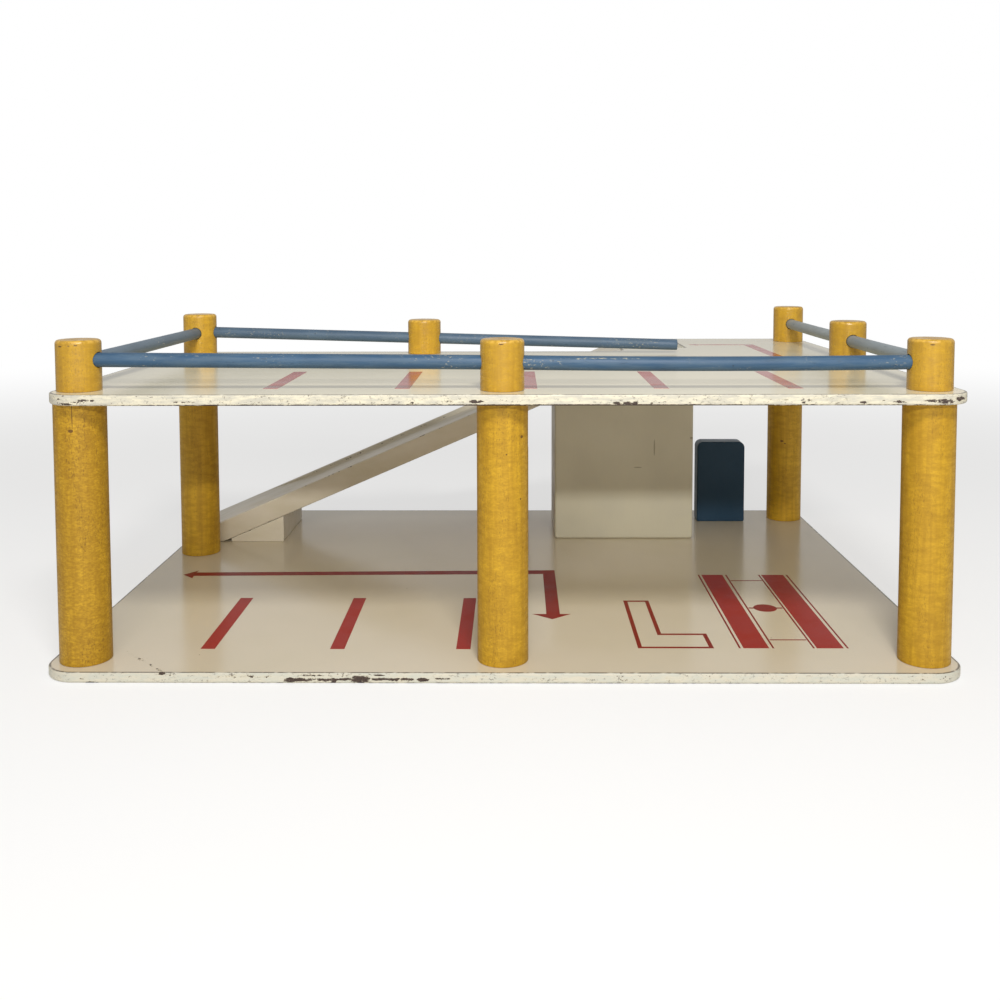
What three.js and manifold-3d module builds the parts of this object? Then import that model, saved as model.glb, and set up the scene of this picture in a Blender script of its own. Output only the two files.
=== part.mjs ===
// Wooden toy parking garage: two painted boards on round posts, a ramp, a lift shaft and two pumps.
// Frame: millimetres, Z up, X to the right, front at low Y, origin under the middle of the base board.
import * as THREE from 'three';
import { mergeVertices } from 'three/addons/utils/BufferGeometryUtils.js';
import Module from 'manifold-3d';

// Boards
const board_length = 500;
const board_depth = 376;
const board_thickness = 6;
const board_corner_radius = 18;
const board_edge_round = 1.2;
const deck_leg_width = 161;
const deck_notch_depth = 120;
const deck_left_inset = 4.5;
const deck_rear_left_radius = 16;
const deck_notch_corner_radius = 12;
const deck_notch_end_radius = 3;

// Posts
const storey_height = 144;
const post_diameter = 28;
const post_end_round = 0.6;
const left_post_inset = 18.5;
const right_post_inset = 17.7;
const rear_left_post_inset = 19.9;
const rear_right_post_inset = 16.1;
const front_post_inset = 21;
const rear_post_inset = 27;

// Caps and the dowel pins under them
const cap_diameter = 24;
const cap_height = 28;
const rear_left_cap_height = 29.4;
const rear_right_cap_height = 29;
const rear_middle_cap_height = 25.2;
const rear_left_cap_shift = 2.4;
const rear_right_cap_shift = 1.7;
const cap_top_round = 1.6;
const cap_foot_round = 0.5;
const rear_middle_cap_spacing = 171;
const right_middle_cap_spacing = 150;
const pin_diameter = 6;
const pin_depth_in_post = 12;
const pin_depth_in_cap = 5;
const pin_end_round = 0.4;

// Rails
const rail_diameter = 8;
const rail_end_round = 0.3;
const rail_seat_depth = 7;
const rail_height = 15;
const left_rail_rear_height = 15.6;
const first_rail_left_height = 17;
const first_rail_front_shift = 2;
const rear_rail_left_height = 16.2;
const rear_rail_free_height = 5.9;
const rear_rail_end_inset = 123;

// Ramp
const ramp_width = 77;
const ramp_thickness = 15;
const ramp_nose_height = 5.16;
const ramp_front_gap = 13;
const ramp_end_clearance = 0.3;
const ramp_nose_inset = 3;
const ramp_edge_round = 0.9;
const ramp_channel_depth = 3.5;
const ramp_kerb_width = 6;
const ramp_channel_low_start = 50;
const ramp_channel_high_end = 14;
const ramp_channel_fade = 40;

// Wedge under the ramp
const wedge_toe_height = 2.46;
const wedge_length = 41;
const wedge_setback = 1.7;
const wedge_edge_round = 0.5;

// Lift shaft
const shaft_reach_under_ramp = 51;
const shaft_front_gap = 24;
const shaft_rear_setback = 13;
const shaft_wall_thickness = 6;
const shaft_partition_setback = 3;
const shaft_inner_width = 42;
const shaft_edge_round = 1;
const knob_slot_width = 6;

// Lift
const platform_thickness = 18;
const platform_clearance = 0.4;
const platform_edge_round = 0.6;
const guide_width = 6;
const guide_depth = 3;
const guide_rear_setback = 14;
const guide_edge_round = 0.3;
const peg_diameter = 5;
const peg_depth_in_platform = 12;
const peg_end_round = 0.3;
const knob_diameter = 11;
const knob_length = 11;
const knob_neck_diameter = 8;
const knob_hole_depth = 8;
const knob_wall_gap = 0.8;

// Pumps
const pump_width = 39.2;
const pump_depth = 16;
const pump_height = 67;
const pump_corner_radius = 5;
const pump_edge_round = 0.8;
const red_pump_shaft_gap = 20.2;
const red_pump_rear_setback = 23;
const blue_pump_rear_setback = 24.6;

// Fits and smoothness
const fit_gap = 0.3;
const snug_gap = 0.15;
const round_steps = 36;
const thin_steps = 22;
const thin_limit = 5;
const corner_steps = 6;
const edge_steps = 2;

// Shares of a size
const knob_slot_share = 0.6;
const blue_pump_gap_share = 0.363;
const knob_neck_share = 0.3;
const knob_round_share = 0.32;
const half = 0.5;

// Places worked out from the sizes above
const left_x = -board_length * half;
const right_x = board_length * half;
const front_y = -board_depth * half;
const rear_y = board_depth * half;
const base_top = board_thickness;
const deck_bottom = base_top + storey_height;
const deck_top = deck_bottom + board_thickness;
const deck_left_x = left_x + deck_left_inset;
const notch_x = right_x - deck_leg_width;
const notch_y = rear_y - deck_notch_depth;
const left_post_x = left_x + left_post_inset;
const right_post_x = right_x - right_post_inset;
const front_row_y = front_y + front_post_inset;
const rear_row_y = notch_y - post_diameter * half;
const rear_left_x = left_x + rear_left_post_inset;
const rear_right_x = right_x - rear_right_post_inset;
const rear_right_y = rear_y - rear_post_inset;
const rear_middle_x = left_post_x + rear_middle_cap_spacing;
const right_middle_y = front_row_y + right_middle_cap_spacing;
const ramp_front_y = notch_y + ramp_front_gap;
const ramp_rear_y = ramp_front_y + ramp_width;
const ramp_top_x = notch_x - ramp_end_clearance;
const nose_x = left_x + ramp_nose_inset;
const ramp_slope = (storey_height + board_thickness - ramp_nose_height) / (ramp_top_x - nose_x);
const ramp_drop = ramp_thickness * Math.hypot(1, ramp_slope);
const shaft_left_x = notch_x - shaft_reach_under_ramp;
const partition_left = notch_x + shaft_partition_setback;
const shaft_inner_left = partition_left + shaft_wall_thickness;
const shaft_inner_right = shaft_inner_left + shaft_inner_width;
const shaft_right_x = shaft_inner_right + shaft_wall_thickness;
const shaft_front_y = notch_y + shaft_front_gap;
const shaft_inner_y = shaft_front_y + shaft_wall_thickness;
const shaft_rear_y = rear_y - shaft_rear_setback;
const guide_rear = shaft_rear_y - guide_rear_setback;
const guide_front = guide_rear - guide_width;

const wasm = await Module();
wasm.setup();

// Height of the ramp's top face at a given X.
function rampTopAt(x) {
  return deck_top - (ramp_top_x - x) * ramp_slope;
}

// Height of the ramp's underside at a given X.
function rampUndersideAt(x) {
  return rampTopAt(x) - ramp_drop;
}

// Welds equal corners and drops empty triangles, so that a piece is one closed skin.
function weld(geometry) {
  geometry.deleteAttribute('normal');
  geometry.deleteAttribute('uv');
  const welded = mergeVertices(geometry);
  const corners = welded.index.array;
  const kept = [];
  for (let i = 0; i < corners.length; i += 3) {
    const [a, b, c] = [corners[i], corners[i + 1], corners[i + 2]];
    if (a !== b && b !== c && c !== a) {
      kept.push(a, b, c);
    }
  }
  welded.setIndex(kept);
  return welded;
}

// A closed solid for boolean work.
function toSolid(geometry) {
  return new wasm.Manifold(new wasm.Mesh({
    numProp: 3,
    vertProperties: geometry.attributes.position.array,
    triVerts: new Uint32Array(geometry.index.array),
  }));
}

// A three.js geometry from a solid.
function toGeometry(solid) {
  const mesh = solid.getMesh();
  const geometry = new THREE.BufferGeometry();
  geometry.setAttribute('position', new THREE.BufferAttribute(new Float32Array(mesh.vertProperties), 3));
  geometry.setIndex(new THREE.BufferAttribute(new Uint32Array(mesh.triVerts), 1));
  return geometry;
}

// Takes every cutter away from a geometry.
function cut(geometry, cutters) {
  return toGeometry(cutters.reduce((solid, cutter) => solid.subtract(toSolid(cutter)), toSolid(geometry)));
}

// An outline with round corners: points are [x, y, radius], anticlockwise.
function roundOutline(corners) {
  const outline = [];
  corners.forEach(([x, y, radius = 0], i) => {
    const corner = new THREE.Vector2(x, y);
    const before = new THREE.Vector2(...corners[(i + corners.length - 1) % corners.length]).sub(corner);
    const after = new THREE.Vector2(...corners[(i + 1) % corners.length]).sub(corner);
    if (radius === 0) {
      outline.push(corner);
      return;
    }
    before.normalize();
    after.normalize();
    const opening = Math.acos(THREE.MathUtils.clamp(before.dot(after), -1, 1)) * half;
    const reach = radius / Math.tan(opening);
    const centre = before.clone().add(after).normalize().multiplyScalar(radius / Math.sin(opening)).add(corner);
    const start = corner.clone().addScaledVector(before, reach).sub(centre);
    const end = corner.clone().addScaledVector(after, reach).sub(centre);
    const turn = Math.atan2(start.cross(end), start.dot(end));
    for (let k = 0; k <= corner_steps; k += 1) {
      const point = start.clone().rotateAround(new THREE.Vector2(), (turn * k) / corner_steps);
      outline.push(point.add(centre));
    }
  });
  return new THREE.Shape(outline);
}

// A flat piece from an outline, with its edges rounded and its outer size kept.
function slab(shape, thickness, edge) {
  const geometry = new THREE.ExtrudeGeometry(shape, {
    depth: thickness - edge - edge,
    bevelEnabled: edge > 0,
    bevelThickness: edge,
    bevelSize: edge,
    bevelOffset: -edge,
    bevelSegments: edge_steps,
    steps: 1,
  });
  geometry.translate(0, 0, edge);
  return weld(geometry);
}

// A flat piece lying down, its foot at a height.
function lyingSlab(corners, bottom, top, edge) {
  const geometry = slab(roundOutline(corners), top - bottom, edge);
  geometry.translate(0, 0, bottom);
  return geometry;
}

// A piece whose outline is drawn in X and Z and which runs along Y.
function standingSlab(corners, front, rear, edge) {
  const geometry = slab(roundOutline(corners), rear - front, edge);
  geometry.rotateX(Math.PI * half);
  geometry.translate(0, rear, 0);
  return geometry;
}

// The four corners of a rectangle with one radius.
function rectangle(x0, y0, x1, y1, radius) {
  return [[x0, y0, radius], [x1, y0, radius], [x1, y1, radius], [x0, y1, radius]];
}

// A quarter round in a lathe profile: outward from the axis at a foot, or inward at a top.
function quarterRound(profile, radius, level, round, atTop) {
  for (let k = 0; k <= edge_steps; k += 1) {
    const angle = (Math.PI * half * k) / edge_steps;
    const [across, along] = atTop ? [Math.cos(angle), Math.sin(angle)] : [Math.sin(angle), -Math.cos(angle)];
    profile.push(new THREE.Vector2(radius - round + round * across, level + round * along));
  }
}

// Turns a profile round the Z axis, in fewer steps when it is thin.
function turned(profile, radius) {
  const geometry = new THREE.LatheGeometry(profile, radius > thin_limit ? round_steps : thin_steps);
  geometry.rotateX(Math.PI * half);
  return weld(geometry);
}

// A round stick on the Z axis with rounded ends.
function stick(radius, length, footRound, topRound) {
  const profile = [new THREE.Vector2(0, 0)];
  if (footRound > 0) {
    quarterRound(profile, radius, footRound, footRound, false);
  } else {
    profile.push(new THREE.Vector2(radius, 0));
  }
  if (topRound > 0) {
    quarterRound(profile, radius, length - topRound, topRound, true);
  } else {
    profile.push(new THREE.Vector2(radius, length));
  }
  profile.push(new THREE.Vector2(0, length));
  return turned(profile, radius);
}

// A round stick from one point to another.
function stickBetween(start, end, radius, endRound) {
  const way = end.clone().sub(start);
  const geometry = stick(radius, way.length(), endRound, endRound);
  const turn = new THREE.Quaternion().setFromUnitVectors(new THREE.Vector3(0, 0, 1), way.normalize());
  geometry.applyQuaternion(turn);
  geometry.translate(start.x, start.y, start.z);
  return geometry;
}

const colours = {
  board: { color: '#D8CEBB', roughness: 0.32, metalness: 0 },
  post: { color: '#CF9C33', roughness: 0.55, metalness: 0 },
  cap: { color: '#D9A63B', roughness: 0.4, metalness: 0 },
  pin: { color: '#CDAE7C', roughness: 0.75, metalness: 0 },
  rail: { color: '#4F7BA3', roughness: 0.38, metalness: 0 },
  ramp: { color: '#D9D0BE', roughness: 0.36, metalness: 0 },
  shaft: { color: '#DBD3BF', roughness: 0.38, metalness: 0 },
  guide: { color: '#C9A66E', roughness: 0.7, metalness: 0 },
  platform: { color: '#DBD3BF', roughness: 0.45, metalness: 0 },
  knob: { color: '#A8322A', roughness: 0.35, metalness: 0 },
  redPump: { color: '#A5342A', roughness: 0.36, metalness: 0 },
  bluePump: { color: '#3A5D7C', roughness: 0.36, metalness: 0 },
};

const garage = new THREE.Group();
garage.name = 'toy_parking_garage_with_lift';

// Adds one named piece.
function addPiece(name, geometry, look) {
  const faceted = geometry.toNonIndexed();
  faceted.computeVertexNormals();
  const piece = new THREE.Mesh(faceted, new THREE.MeshStandardMaterial(colours[look]));
  piece.name = name;
  garage.add(piece);
}

// Posts, from base board to deck
const posts = [
  { name: 'front_left', x: left_post_x, y: front_row_y },
  { name: 'front_middle', x: 0, y: front_row_y },
  { name: 'front_right', x: right_post_x, y: front_row_y },
  { name: 'rear_left', x: rear_left_x, y: rear_row_y },
  { name: 'rear_right', x: rear_right_x, y: rear_right_y },
];

// Caps: one over each post, two of them a little off its axis, and two that stand on the deck alone
const caps = {
  front_left: { x: left_post_x, y: front_row_y, height: cap_height, overPost: true },
  front_middle: { x: 0, y: front_row_y, height: cap_height, overPost: true },
  front_right: { x: right_post_x, y: front_row_y, height: cap_height, overPost: true },
  rear_left: {
    x: rear_left_x + rear_left_cap_shift, y: rear_row_y, height: rear_left_cap_height, overPost: true,
  },
  rear_right: {
    x: rear_right_x + rear_right_cap_shift, y: rear_right_y, height: rear_right_cap_height, overPost: true,
  },
  rear_middle: { x: rear_middle_x, y: rear_row_y, height: rear_middle_cap_height, overPost: false },
  right_middle: { x: right_post_x, y: right_middle_y, height: cap_height, overPost: false },
};

// A rail from one cap into the next, a little way inside both, at a height over the deck at each end.
const seat = cap_diameter * half - rail_seat_depth;
function railBetween(name, from, to, fromHeight, toHeight) {
  const start = new THREE.Vector3(from.x, from.y, deck_top + fromHeight);
  const end = new THREE.Vector3(to.x, to.y, deck_top + toHeight);
  const way = end.clone().sub(start).normalize();
  return { name, start: start.addScaledVector(way, seat), end: end.addScaledVector(way, -seat) };
}

const first_rail_start = { x: caps.front_left.x, y: caps.front_left.y - first_rail_front_shift };
const rails = [
  railBetween('front_left', first_rail_start, caps.front_middle, first_rail_left_height, rail_height),
  railBetween('front_right', caps.front_middle, caps.front_right, rail_height, rail_height),
  railBetween('left', caps.front_left, caps.rear_left, rail_height, left_rail_rear_height),
  railBetween('right_front', caps.front_right, caps.right_middle, rail_height, rail_height),
  railBetween('right_rear', caps.right_middle, caps.rear_right, rail_height, rail_height),
];

// The rear rail passes through the middle cap and ends free.
const rear_rail = railBetween(
  'rear',
  caps.rear_left,
  { x: right_x - rear_rail_end_inset + seat, y: rear_row_y },
  rear_rail_left_height,
  rear_rail_free_height,
);
rails.push(rear_rail);

// The hole that a rail needs in its caps.
function railHole(rail) {
  const way = rail.end.clone().sub(rail.start).normalize();
  const start = rail.start.clone().addScaledVector(way, -fit_gap);
  const end = rail.end.clone().addScaledVector(way, fit_gap);
  return stickBetween(start, end, rail_diameter * half + fit_gap, 0);
}

// A round hole upwards or downwards for a pin.
function pinHole(x, y, bottom, top) {
  const hole = stick(pin_diameter * half + snug_gap, top - bottom, 0, 0);
  hole.translate(x, y, bottom);
  return hole;
}

// Base board
const base_outline = rectangle(left_x, front_y, right_x, rear_y, board_corner_radius);
addPiece('base_board', lyingSlab(base_outline, 0, base_top, board_edge_round), 'board');

// Deck board, with the notch for the ramp, the lift opening and the pin holes
const deck_outline = [
  [deck_left_x, front_y, board_corner_radius],
  [right_x, front_y, board_corner_radius],
  [right_x, rear_y, board_corner_radius],
  [notch_x, rear_y, deck_notch_end_radius],
  [notch_x, notch_y, deck_notch_corner_radius],
  [deck_left_x, notch_y, deck_rear_left_radius],
];
const opening_corners = rectangle(shaft_inner_left, shaft_inner_y, shaft_inner_right, shaft_rear_y, 0);
const deck_cutters = Object.values(caps).map(
  (cap) => pinHole(cap.x, cap.y, deck_bottom - fit_gap, deck_top + fit_gap),
);
deck_cutters.push(lyingSlab(opening_corners, deck_bottom - fit_gap, deck_top + fit_gap, 0));
const deck_body = lyingSlab(deck_outline, deck_bottom, deck_top, board_edge_round);
addPiece('deck_board', cut(deck_body, deck_cutters), 'board');

posts.forEach((post) => {
  const body = stick(post_diameter * half, storey_height, post_end_round, post_end_round);
  body.translate(post.x, post.y, base_top);
  const cap = caps[post.name];
  const hole = pinHole(cap.x, cap.y, deck_bottom - pin_depth_in_post - fit_gap, deck_bottom + fit_gap);
  addPiece(`post_${post.name}`, cut(body, [hole]), 'post');
});

const rail_holes = rails.map(railHole);
Object.entries(caps).forEach(([name, cap]) => {
  const body = stick(cap_diameter * half, cap.height, cap_foot_round, cap_top_round);
  body.translate(cap.x, cap.y, deck_top);
  const hole = pinHole(cap.x, cap.y, deck_top - fit_gap, deck_top + pin_depth_in_cap + fit_gap);
  addPiece(`cap_${name}`, cut(body, [hole, ...rail_holes]), 'cap');
  const pin_foot = cap.overPost ? deck_bottom - pin_depth_in_post : deck_bottom;
  const pin_length = deck_top + pin_depth_in_cap - pin_foot;
  const pin = stick(pin_diameter * half, pin_length, pin_end_round, pin_end_round);
  pin.translate(cap.x, cap.y, pin_foot);
  addPiece(`pin_${name}`, pin, 'pin');
});

rails.forEach((rail) => {
  const body = stickBetween(rail.start, rail.end, rail_diameter * half, rail_end_round);
  addPiece(`rail_${rail.name}`, body, 'rail');
});

// Ramp: a plank, flat on the base at its low end, with a milled channel that runs out at both ends
const ramp_foot_x = ramp_top_x - (rampUndersideAt(ramp_top_x) - base_top) / ramp_slope;
const ramp_outline = [
  [nose_x, base_top],
  [ramp_foot_x, base_top],
  [ramp_top_x, rampUndersideAt(ramp_top_x)],
  [ramp_top_x, deck_top],
  [nose_x, rampTopAt(nose_x)],
];
const channel_drop = ramp_channel_depth * Math.hypot(1, ramp_slope);
const channel_low_x = left_x + ramp_channel_low_start;
const channel_high_x = ramp_top_x - ramp_channel_high_end;
const channel_low_full = channel_low_x + ramp_channel_fade;
const channel_high_full = channel_high_x - ramp_channel_fade;
const channel_outline = [
  [channel_low_x, rampTopAt(channel_low_x)],
  [channel_low_full, rampTopAt(channel_low_full) - channel_drop],
  [channel_high_full, rampTopAt(channel_high_full) - channel_drop],
  [channel_high_x, rampTopAt(channel_high_x)],
  [channel_high_x, rampTopAt(channel_high_x) + ramp_thickness],
  [channel_low_x, rampTopAt(channel_low_x) + ramp_thickness],
];
const channel_front = ramp_front_y + ramp_kerb_width;
const channel_rear = ramp_rear_y - ramp_kerb_width;
const ramp_body = standingSlab(ramp_outline, ramp_front_y, ramp_rear_y, ramp_edge_round);
addPiece('ramp', cut(ramp_body, [standingSlab(channel_outline, channel_front, channel_rear, 0)]), 'ramp');

// Wedge that carries the ramp's low end
const wedge_left_x = ramp_foot_x + (wedge_toe_height + fit_gap) / ramp_slope;
const wedge_right_x = wedge_left_x + wedge_length;
const wedge_outline = [
  [wedge_left_x, base_top],
  [wedge_right_x, base_top],
  [wedge_right_x, rampUndersideAt(wedge_right_x) - fit_gap],
  [wedge_left_x, rampUndersideAt(wedge_left_x) - fit_gap],
];
const wedge_front = ramp_front_y + wedge_setback;
const wedge_rear = ramp_rear_y - wedge_setback;
addPiece('ramp_wedge', standingSlab(wedge_outline, wedge_front, wedge_rear, wedge_edge_round), 'ramp');

// Lift shaft: a front wall, a low left wall under the ramp, a partition and a right wall in two boards
const under_ramp = (x) => rampUndersideAt(x) - fit_gap;
const front_wall_outline = [
  [shaft_left_x, base_top],
  [shaft_right_x, base_top],
  [shaft_right_x, deck_bottom],
  [notch_x, deck_bottom],
  [notch_x, under_ramp(notch_x)],
  [shaft_left_x, under_ramp(shaft_left_x)],
];
const front_wall = standingSlab(front_wall_outline, shaft_front_y, shaft_inner_y, shaft_edge_round);
addPiece('shaft_front_wall', front_wall, 'shaft');

const left_wall_inner = shaft_left_x + shaft_wall_thickness;
const left_wall_outline = [
  [shaft_left_x, base_top],
  [left_wall_inner, base_top],
  [left_wall_inner, under_ramp(left_wall_inner)],
  [shaft_left_x, under_ramp(shaft_left_x)],
];
addPiece('shaft_left_wall', standingSlab(left_wall_outline, shaft_inner_y, shaft_rear_y, 0), 'shaft');

const knob_y = shaft_inner_y + (guide_front - shaft_inner_y) * knob_slot_share;
const slot_front = knob_y - knob_slot_width * half;
const slot_rear = knob_y + knob_slot_width * half;
const shaft_boards = [
  { name: 'partition', x0: partition_left, x1: shaft_inner_left, y0: shaft_inner_y, y1: shaft_rear_y },
  { name: 'right_wall_front', x0: shaft_inner_right, x1: shaft_right_x, y0: shaft_inner_y, y1: slot_front },
  { name: 'right_wall_rear', x0: shaft_inner_right, x1: shaft_right_x, y0: slot_rear, y1: shaft_rear_y },
];
shaft_boards.forEach((board) => {
  const outline = rectangle(board.x0, board.y0, board.x1, board.y1, 0);
  addPiece(`shaft_${board.name}`, lyingSlab(outline, base_top, deck_bottom, 0), 'shaft');
});

// Guide strips, one on each side of the shaft
const guides = [
  { name: 'left', x0: shaft_inner_left, x1: shaft_inner_left + guide_depth },
  { name: 'right', x0: shaft_inner_right - guide_depth, x1: shaft_inner_right },
];
guides.forEach((guide) => {
  const outline = rectangle(guide.x0, guide_front, guide.x1, guide_rear, 0);
  addPiece(`guide_${guide.name}`, lyingSlab(outline, base_top, deck_bottom, guide_edge_round), 'guide');
});

// Lift platform, level with the deck at rest
const platform_left = shaft_inner_left + platform_clearance;
const platform_right = shaft_inner_right - platform_clearance;
const platform_front = shaft_inner_y + platform_clearance;
const platform_rear = shaft_rear_y - platform_clearance;
const platform_bottom = deck_top - platform_thickness;
const peg_z = deck_bottom - knob_diameter * half - fit_gap;
const peg_start = platform_right - peg_depth_in_platform;
const knob_inner = shaft_right_x + knob_wall_gap;
const peg_end = knob_inner + knob_hole_depth;
const platform_outline = rectangle(platform_left, platform_front, platform_right, platform_rear, 0);
const platform_body = lyingSlab(platform_outline, platform_bottom, deck_top, platform_edge_round);
const groove_front = guide_front - platform_clearance;
const groove_rear = guide_rear + platform_clearance;
const groove_reach = guide_depth + platform_clearance;
const groove_bottom = platform_bottom - fit_gap;
const groove_top = deck_top + fit_gap;
const grooves = [
  [shaft_inner_left - fit_gap, shaft_inner_left + groove_reach],
  [shaft_inner_right - groove_reach, shaft_inner_right + fit_gap],
].map(([x0, x1]) => lyingSlab(rectangle(x0, groove_front, x1, groove_rear, 0), groove_bottom, groove_top, 0));
const peg_hole = stickBetween(
  new THREE.Vector3(peg_start - fit_gap, knob_y, peg_z),
  new THREE.Vector3(peg_end + fit_gap, knob_y, peg_z),
  peg_diameter * half + snug_gap,
  0,
);
addPiece('lift_platform', cut(platform_body, [...grooves, peg_hole]), 'platform');

const peg = stickBetween(
  new THREE.Vector3(peg_start, knob_y, peg_z),
  new THREE.Vector3(peg_end, knob_y, peg_z),
  peg_diameter * half,
  peg_end_round,
);
addPiece('lift_peg', peg, 'pin');

// Turned knob on the peg: a short neck and a domed head
const knob_neck_radius = knob_neck_diameter * half;
const knob_radius = knob_diameter * half;
const knob_shoulder = knob_length * knob_neck_share;
const knob_round = knob_length * knob_round_share;
const knob_profile = [
  new THREE.Vector2(0, 0),
  new THREE.Vector2(knob_neck_radius, 0),
  new THREE.Vector2(knob_neck_radius, knob_shoulder),
];
quarterRound(knob_profile, knob_radius, knob_shoulder + knob_round * half, knob_round * half, false);
quarterRound(knob_profile, knob_radius, knob_length - knob_round, knob_round, true);
knob_profile.push(new THREE.Vector2(0, knob_length));
const knob_body = turned(knob_profile, knob_radius);
knob_body.rotateY(Math.PI * half);
knob_body.translate(knob_inner, knob_y, peg_z);
addPiece('lift_knob', cut(knob_body, [peg_hole]), 'knob');

// Pump blocks on the base board
const red_pump_left = shaft_left_x - red_pump_shaft_gap - pump_width;
const pump_bay = rear_right_x - post_diameter * half - shaft_right_x;
const blue_pump_left = shaft_right_x + (pump_bay - pump_width) * blue_pump_gap_share;
const pumps = [
  { name: 'pump_red', left: red_pump_left, rear: red_pump_rear_setback, look: 'redPump' },
  { name: 'pump_blue', left: blue_pump_left, rear: blue_pump_rear_setback, look: 'bluePump' },
];
pumps.forEach((pump) => {
  const outline = [
    [pump.left, base_top],
    [pump.left + pump_width, base_top],
    [pump.left + pump_width, base_top + pump_height, pump_corner_radius],
    [pump.left, base_top + pump_height, pump_corner_radius],
  ];
  const rear = rear_y - pump.rear;
  addPiece(pump.name, standingSlab(outline, rear - pump_depth, rear, pump_edge_round), pump.look);
});

export default garage;
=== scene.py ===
"""Looks of a painted wooden toy parking garage: glossy chipped boards, stained posts, worn rails."""
import math

import bpy
import numpy as np
from mathutils import Matrix, Vector
from mathutils.geometry import delaunay_2d_cdt


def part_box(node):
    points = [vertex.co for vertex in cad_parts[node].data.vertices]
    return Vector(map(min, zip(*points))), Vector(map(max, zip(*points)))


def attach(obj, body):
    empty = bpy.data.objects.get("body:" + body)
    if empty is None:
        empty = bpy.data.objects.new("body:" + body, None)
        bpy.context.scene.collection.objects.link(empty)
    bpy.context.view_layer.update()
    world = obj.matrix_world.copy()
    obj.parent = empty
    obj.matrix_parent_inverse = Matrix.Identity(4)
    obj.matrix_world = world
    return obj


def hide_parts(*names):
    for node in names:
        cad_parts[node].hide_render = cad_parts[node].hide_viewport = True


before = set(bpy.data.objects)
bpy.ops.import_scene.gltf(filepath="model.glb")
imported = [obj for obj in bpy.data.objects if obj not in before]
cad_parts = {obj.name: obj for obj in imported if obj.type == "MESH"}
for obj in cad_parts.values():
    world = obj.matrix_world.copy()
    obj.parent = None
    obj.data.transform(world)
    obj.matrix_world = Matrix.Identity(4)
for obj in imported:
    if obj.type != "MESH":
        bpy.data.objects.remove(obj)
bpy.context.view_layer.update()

bl_info = {
    "name": "Toy parking garage",
    "version": (1, 0, 0),
    "blender": (4, 5, 0),
    "location": "3D View > Sidebar > Garage",
    "description": "Builds the looks of a painted wooden toy parking garage round its packed frame",
    "category": "Object",
}

MM = 0.001
# An outline's corner radius over the round that is cut along it, so that the inset outline doesn't
# cross itself.
WIDER = 1.3
BODY = "garage"
LIFT = "lift"
POSTS = ("front_left", "front_middle", "front_right", "rear_left", "rear_right")
CAPS = (*POSTS, "rear_middle", "right_middle")

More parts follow.
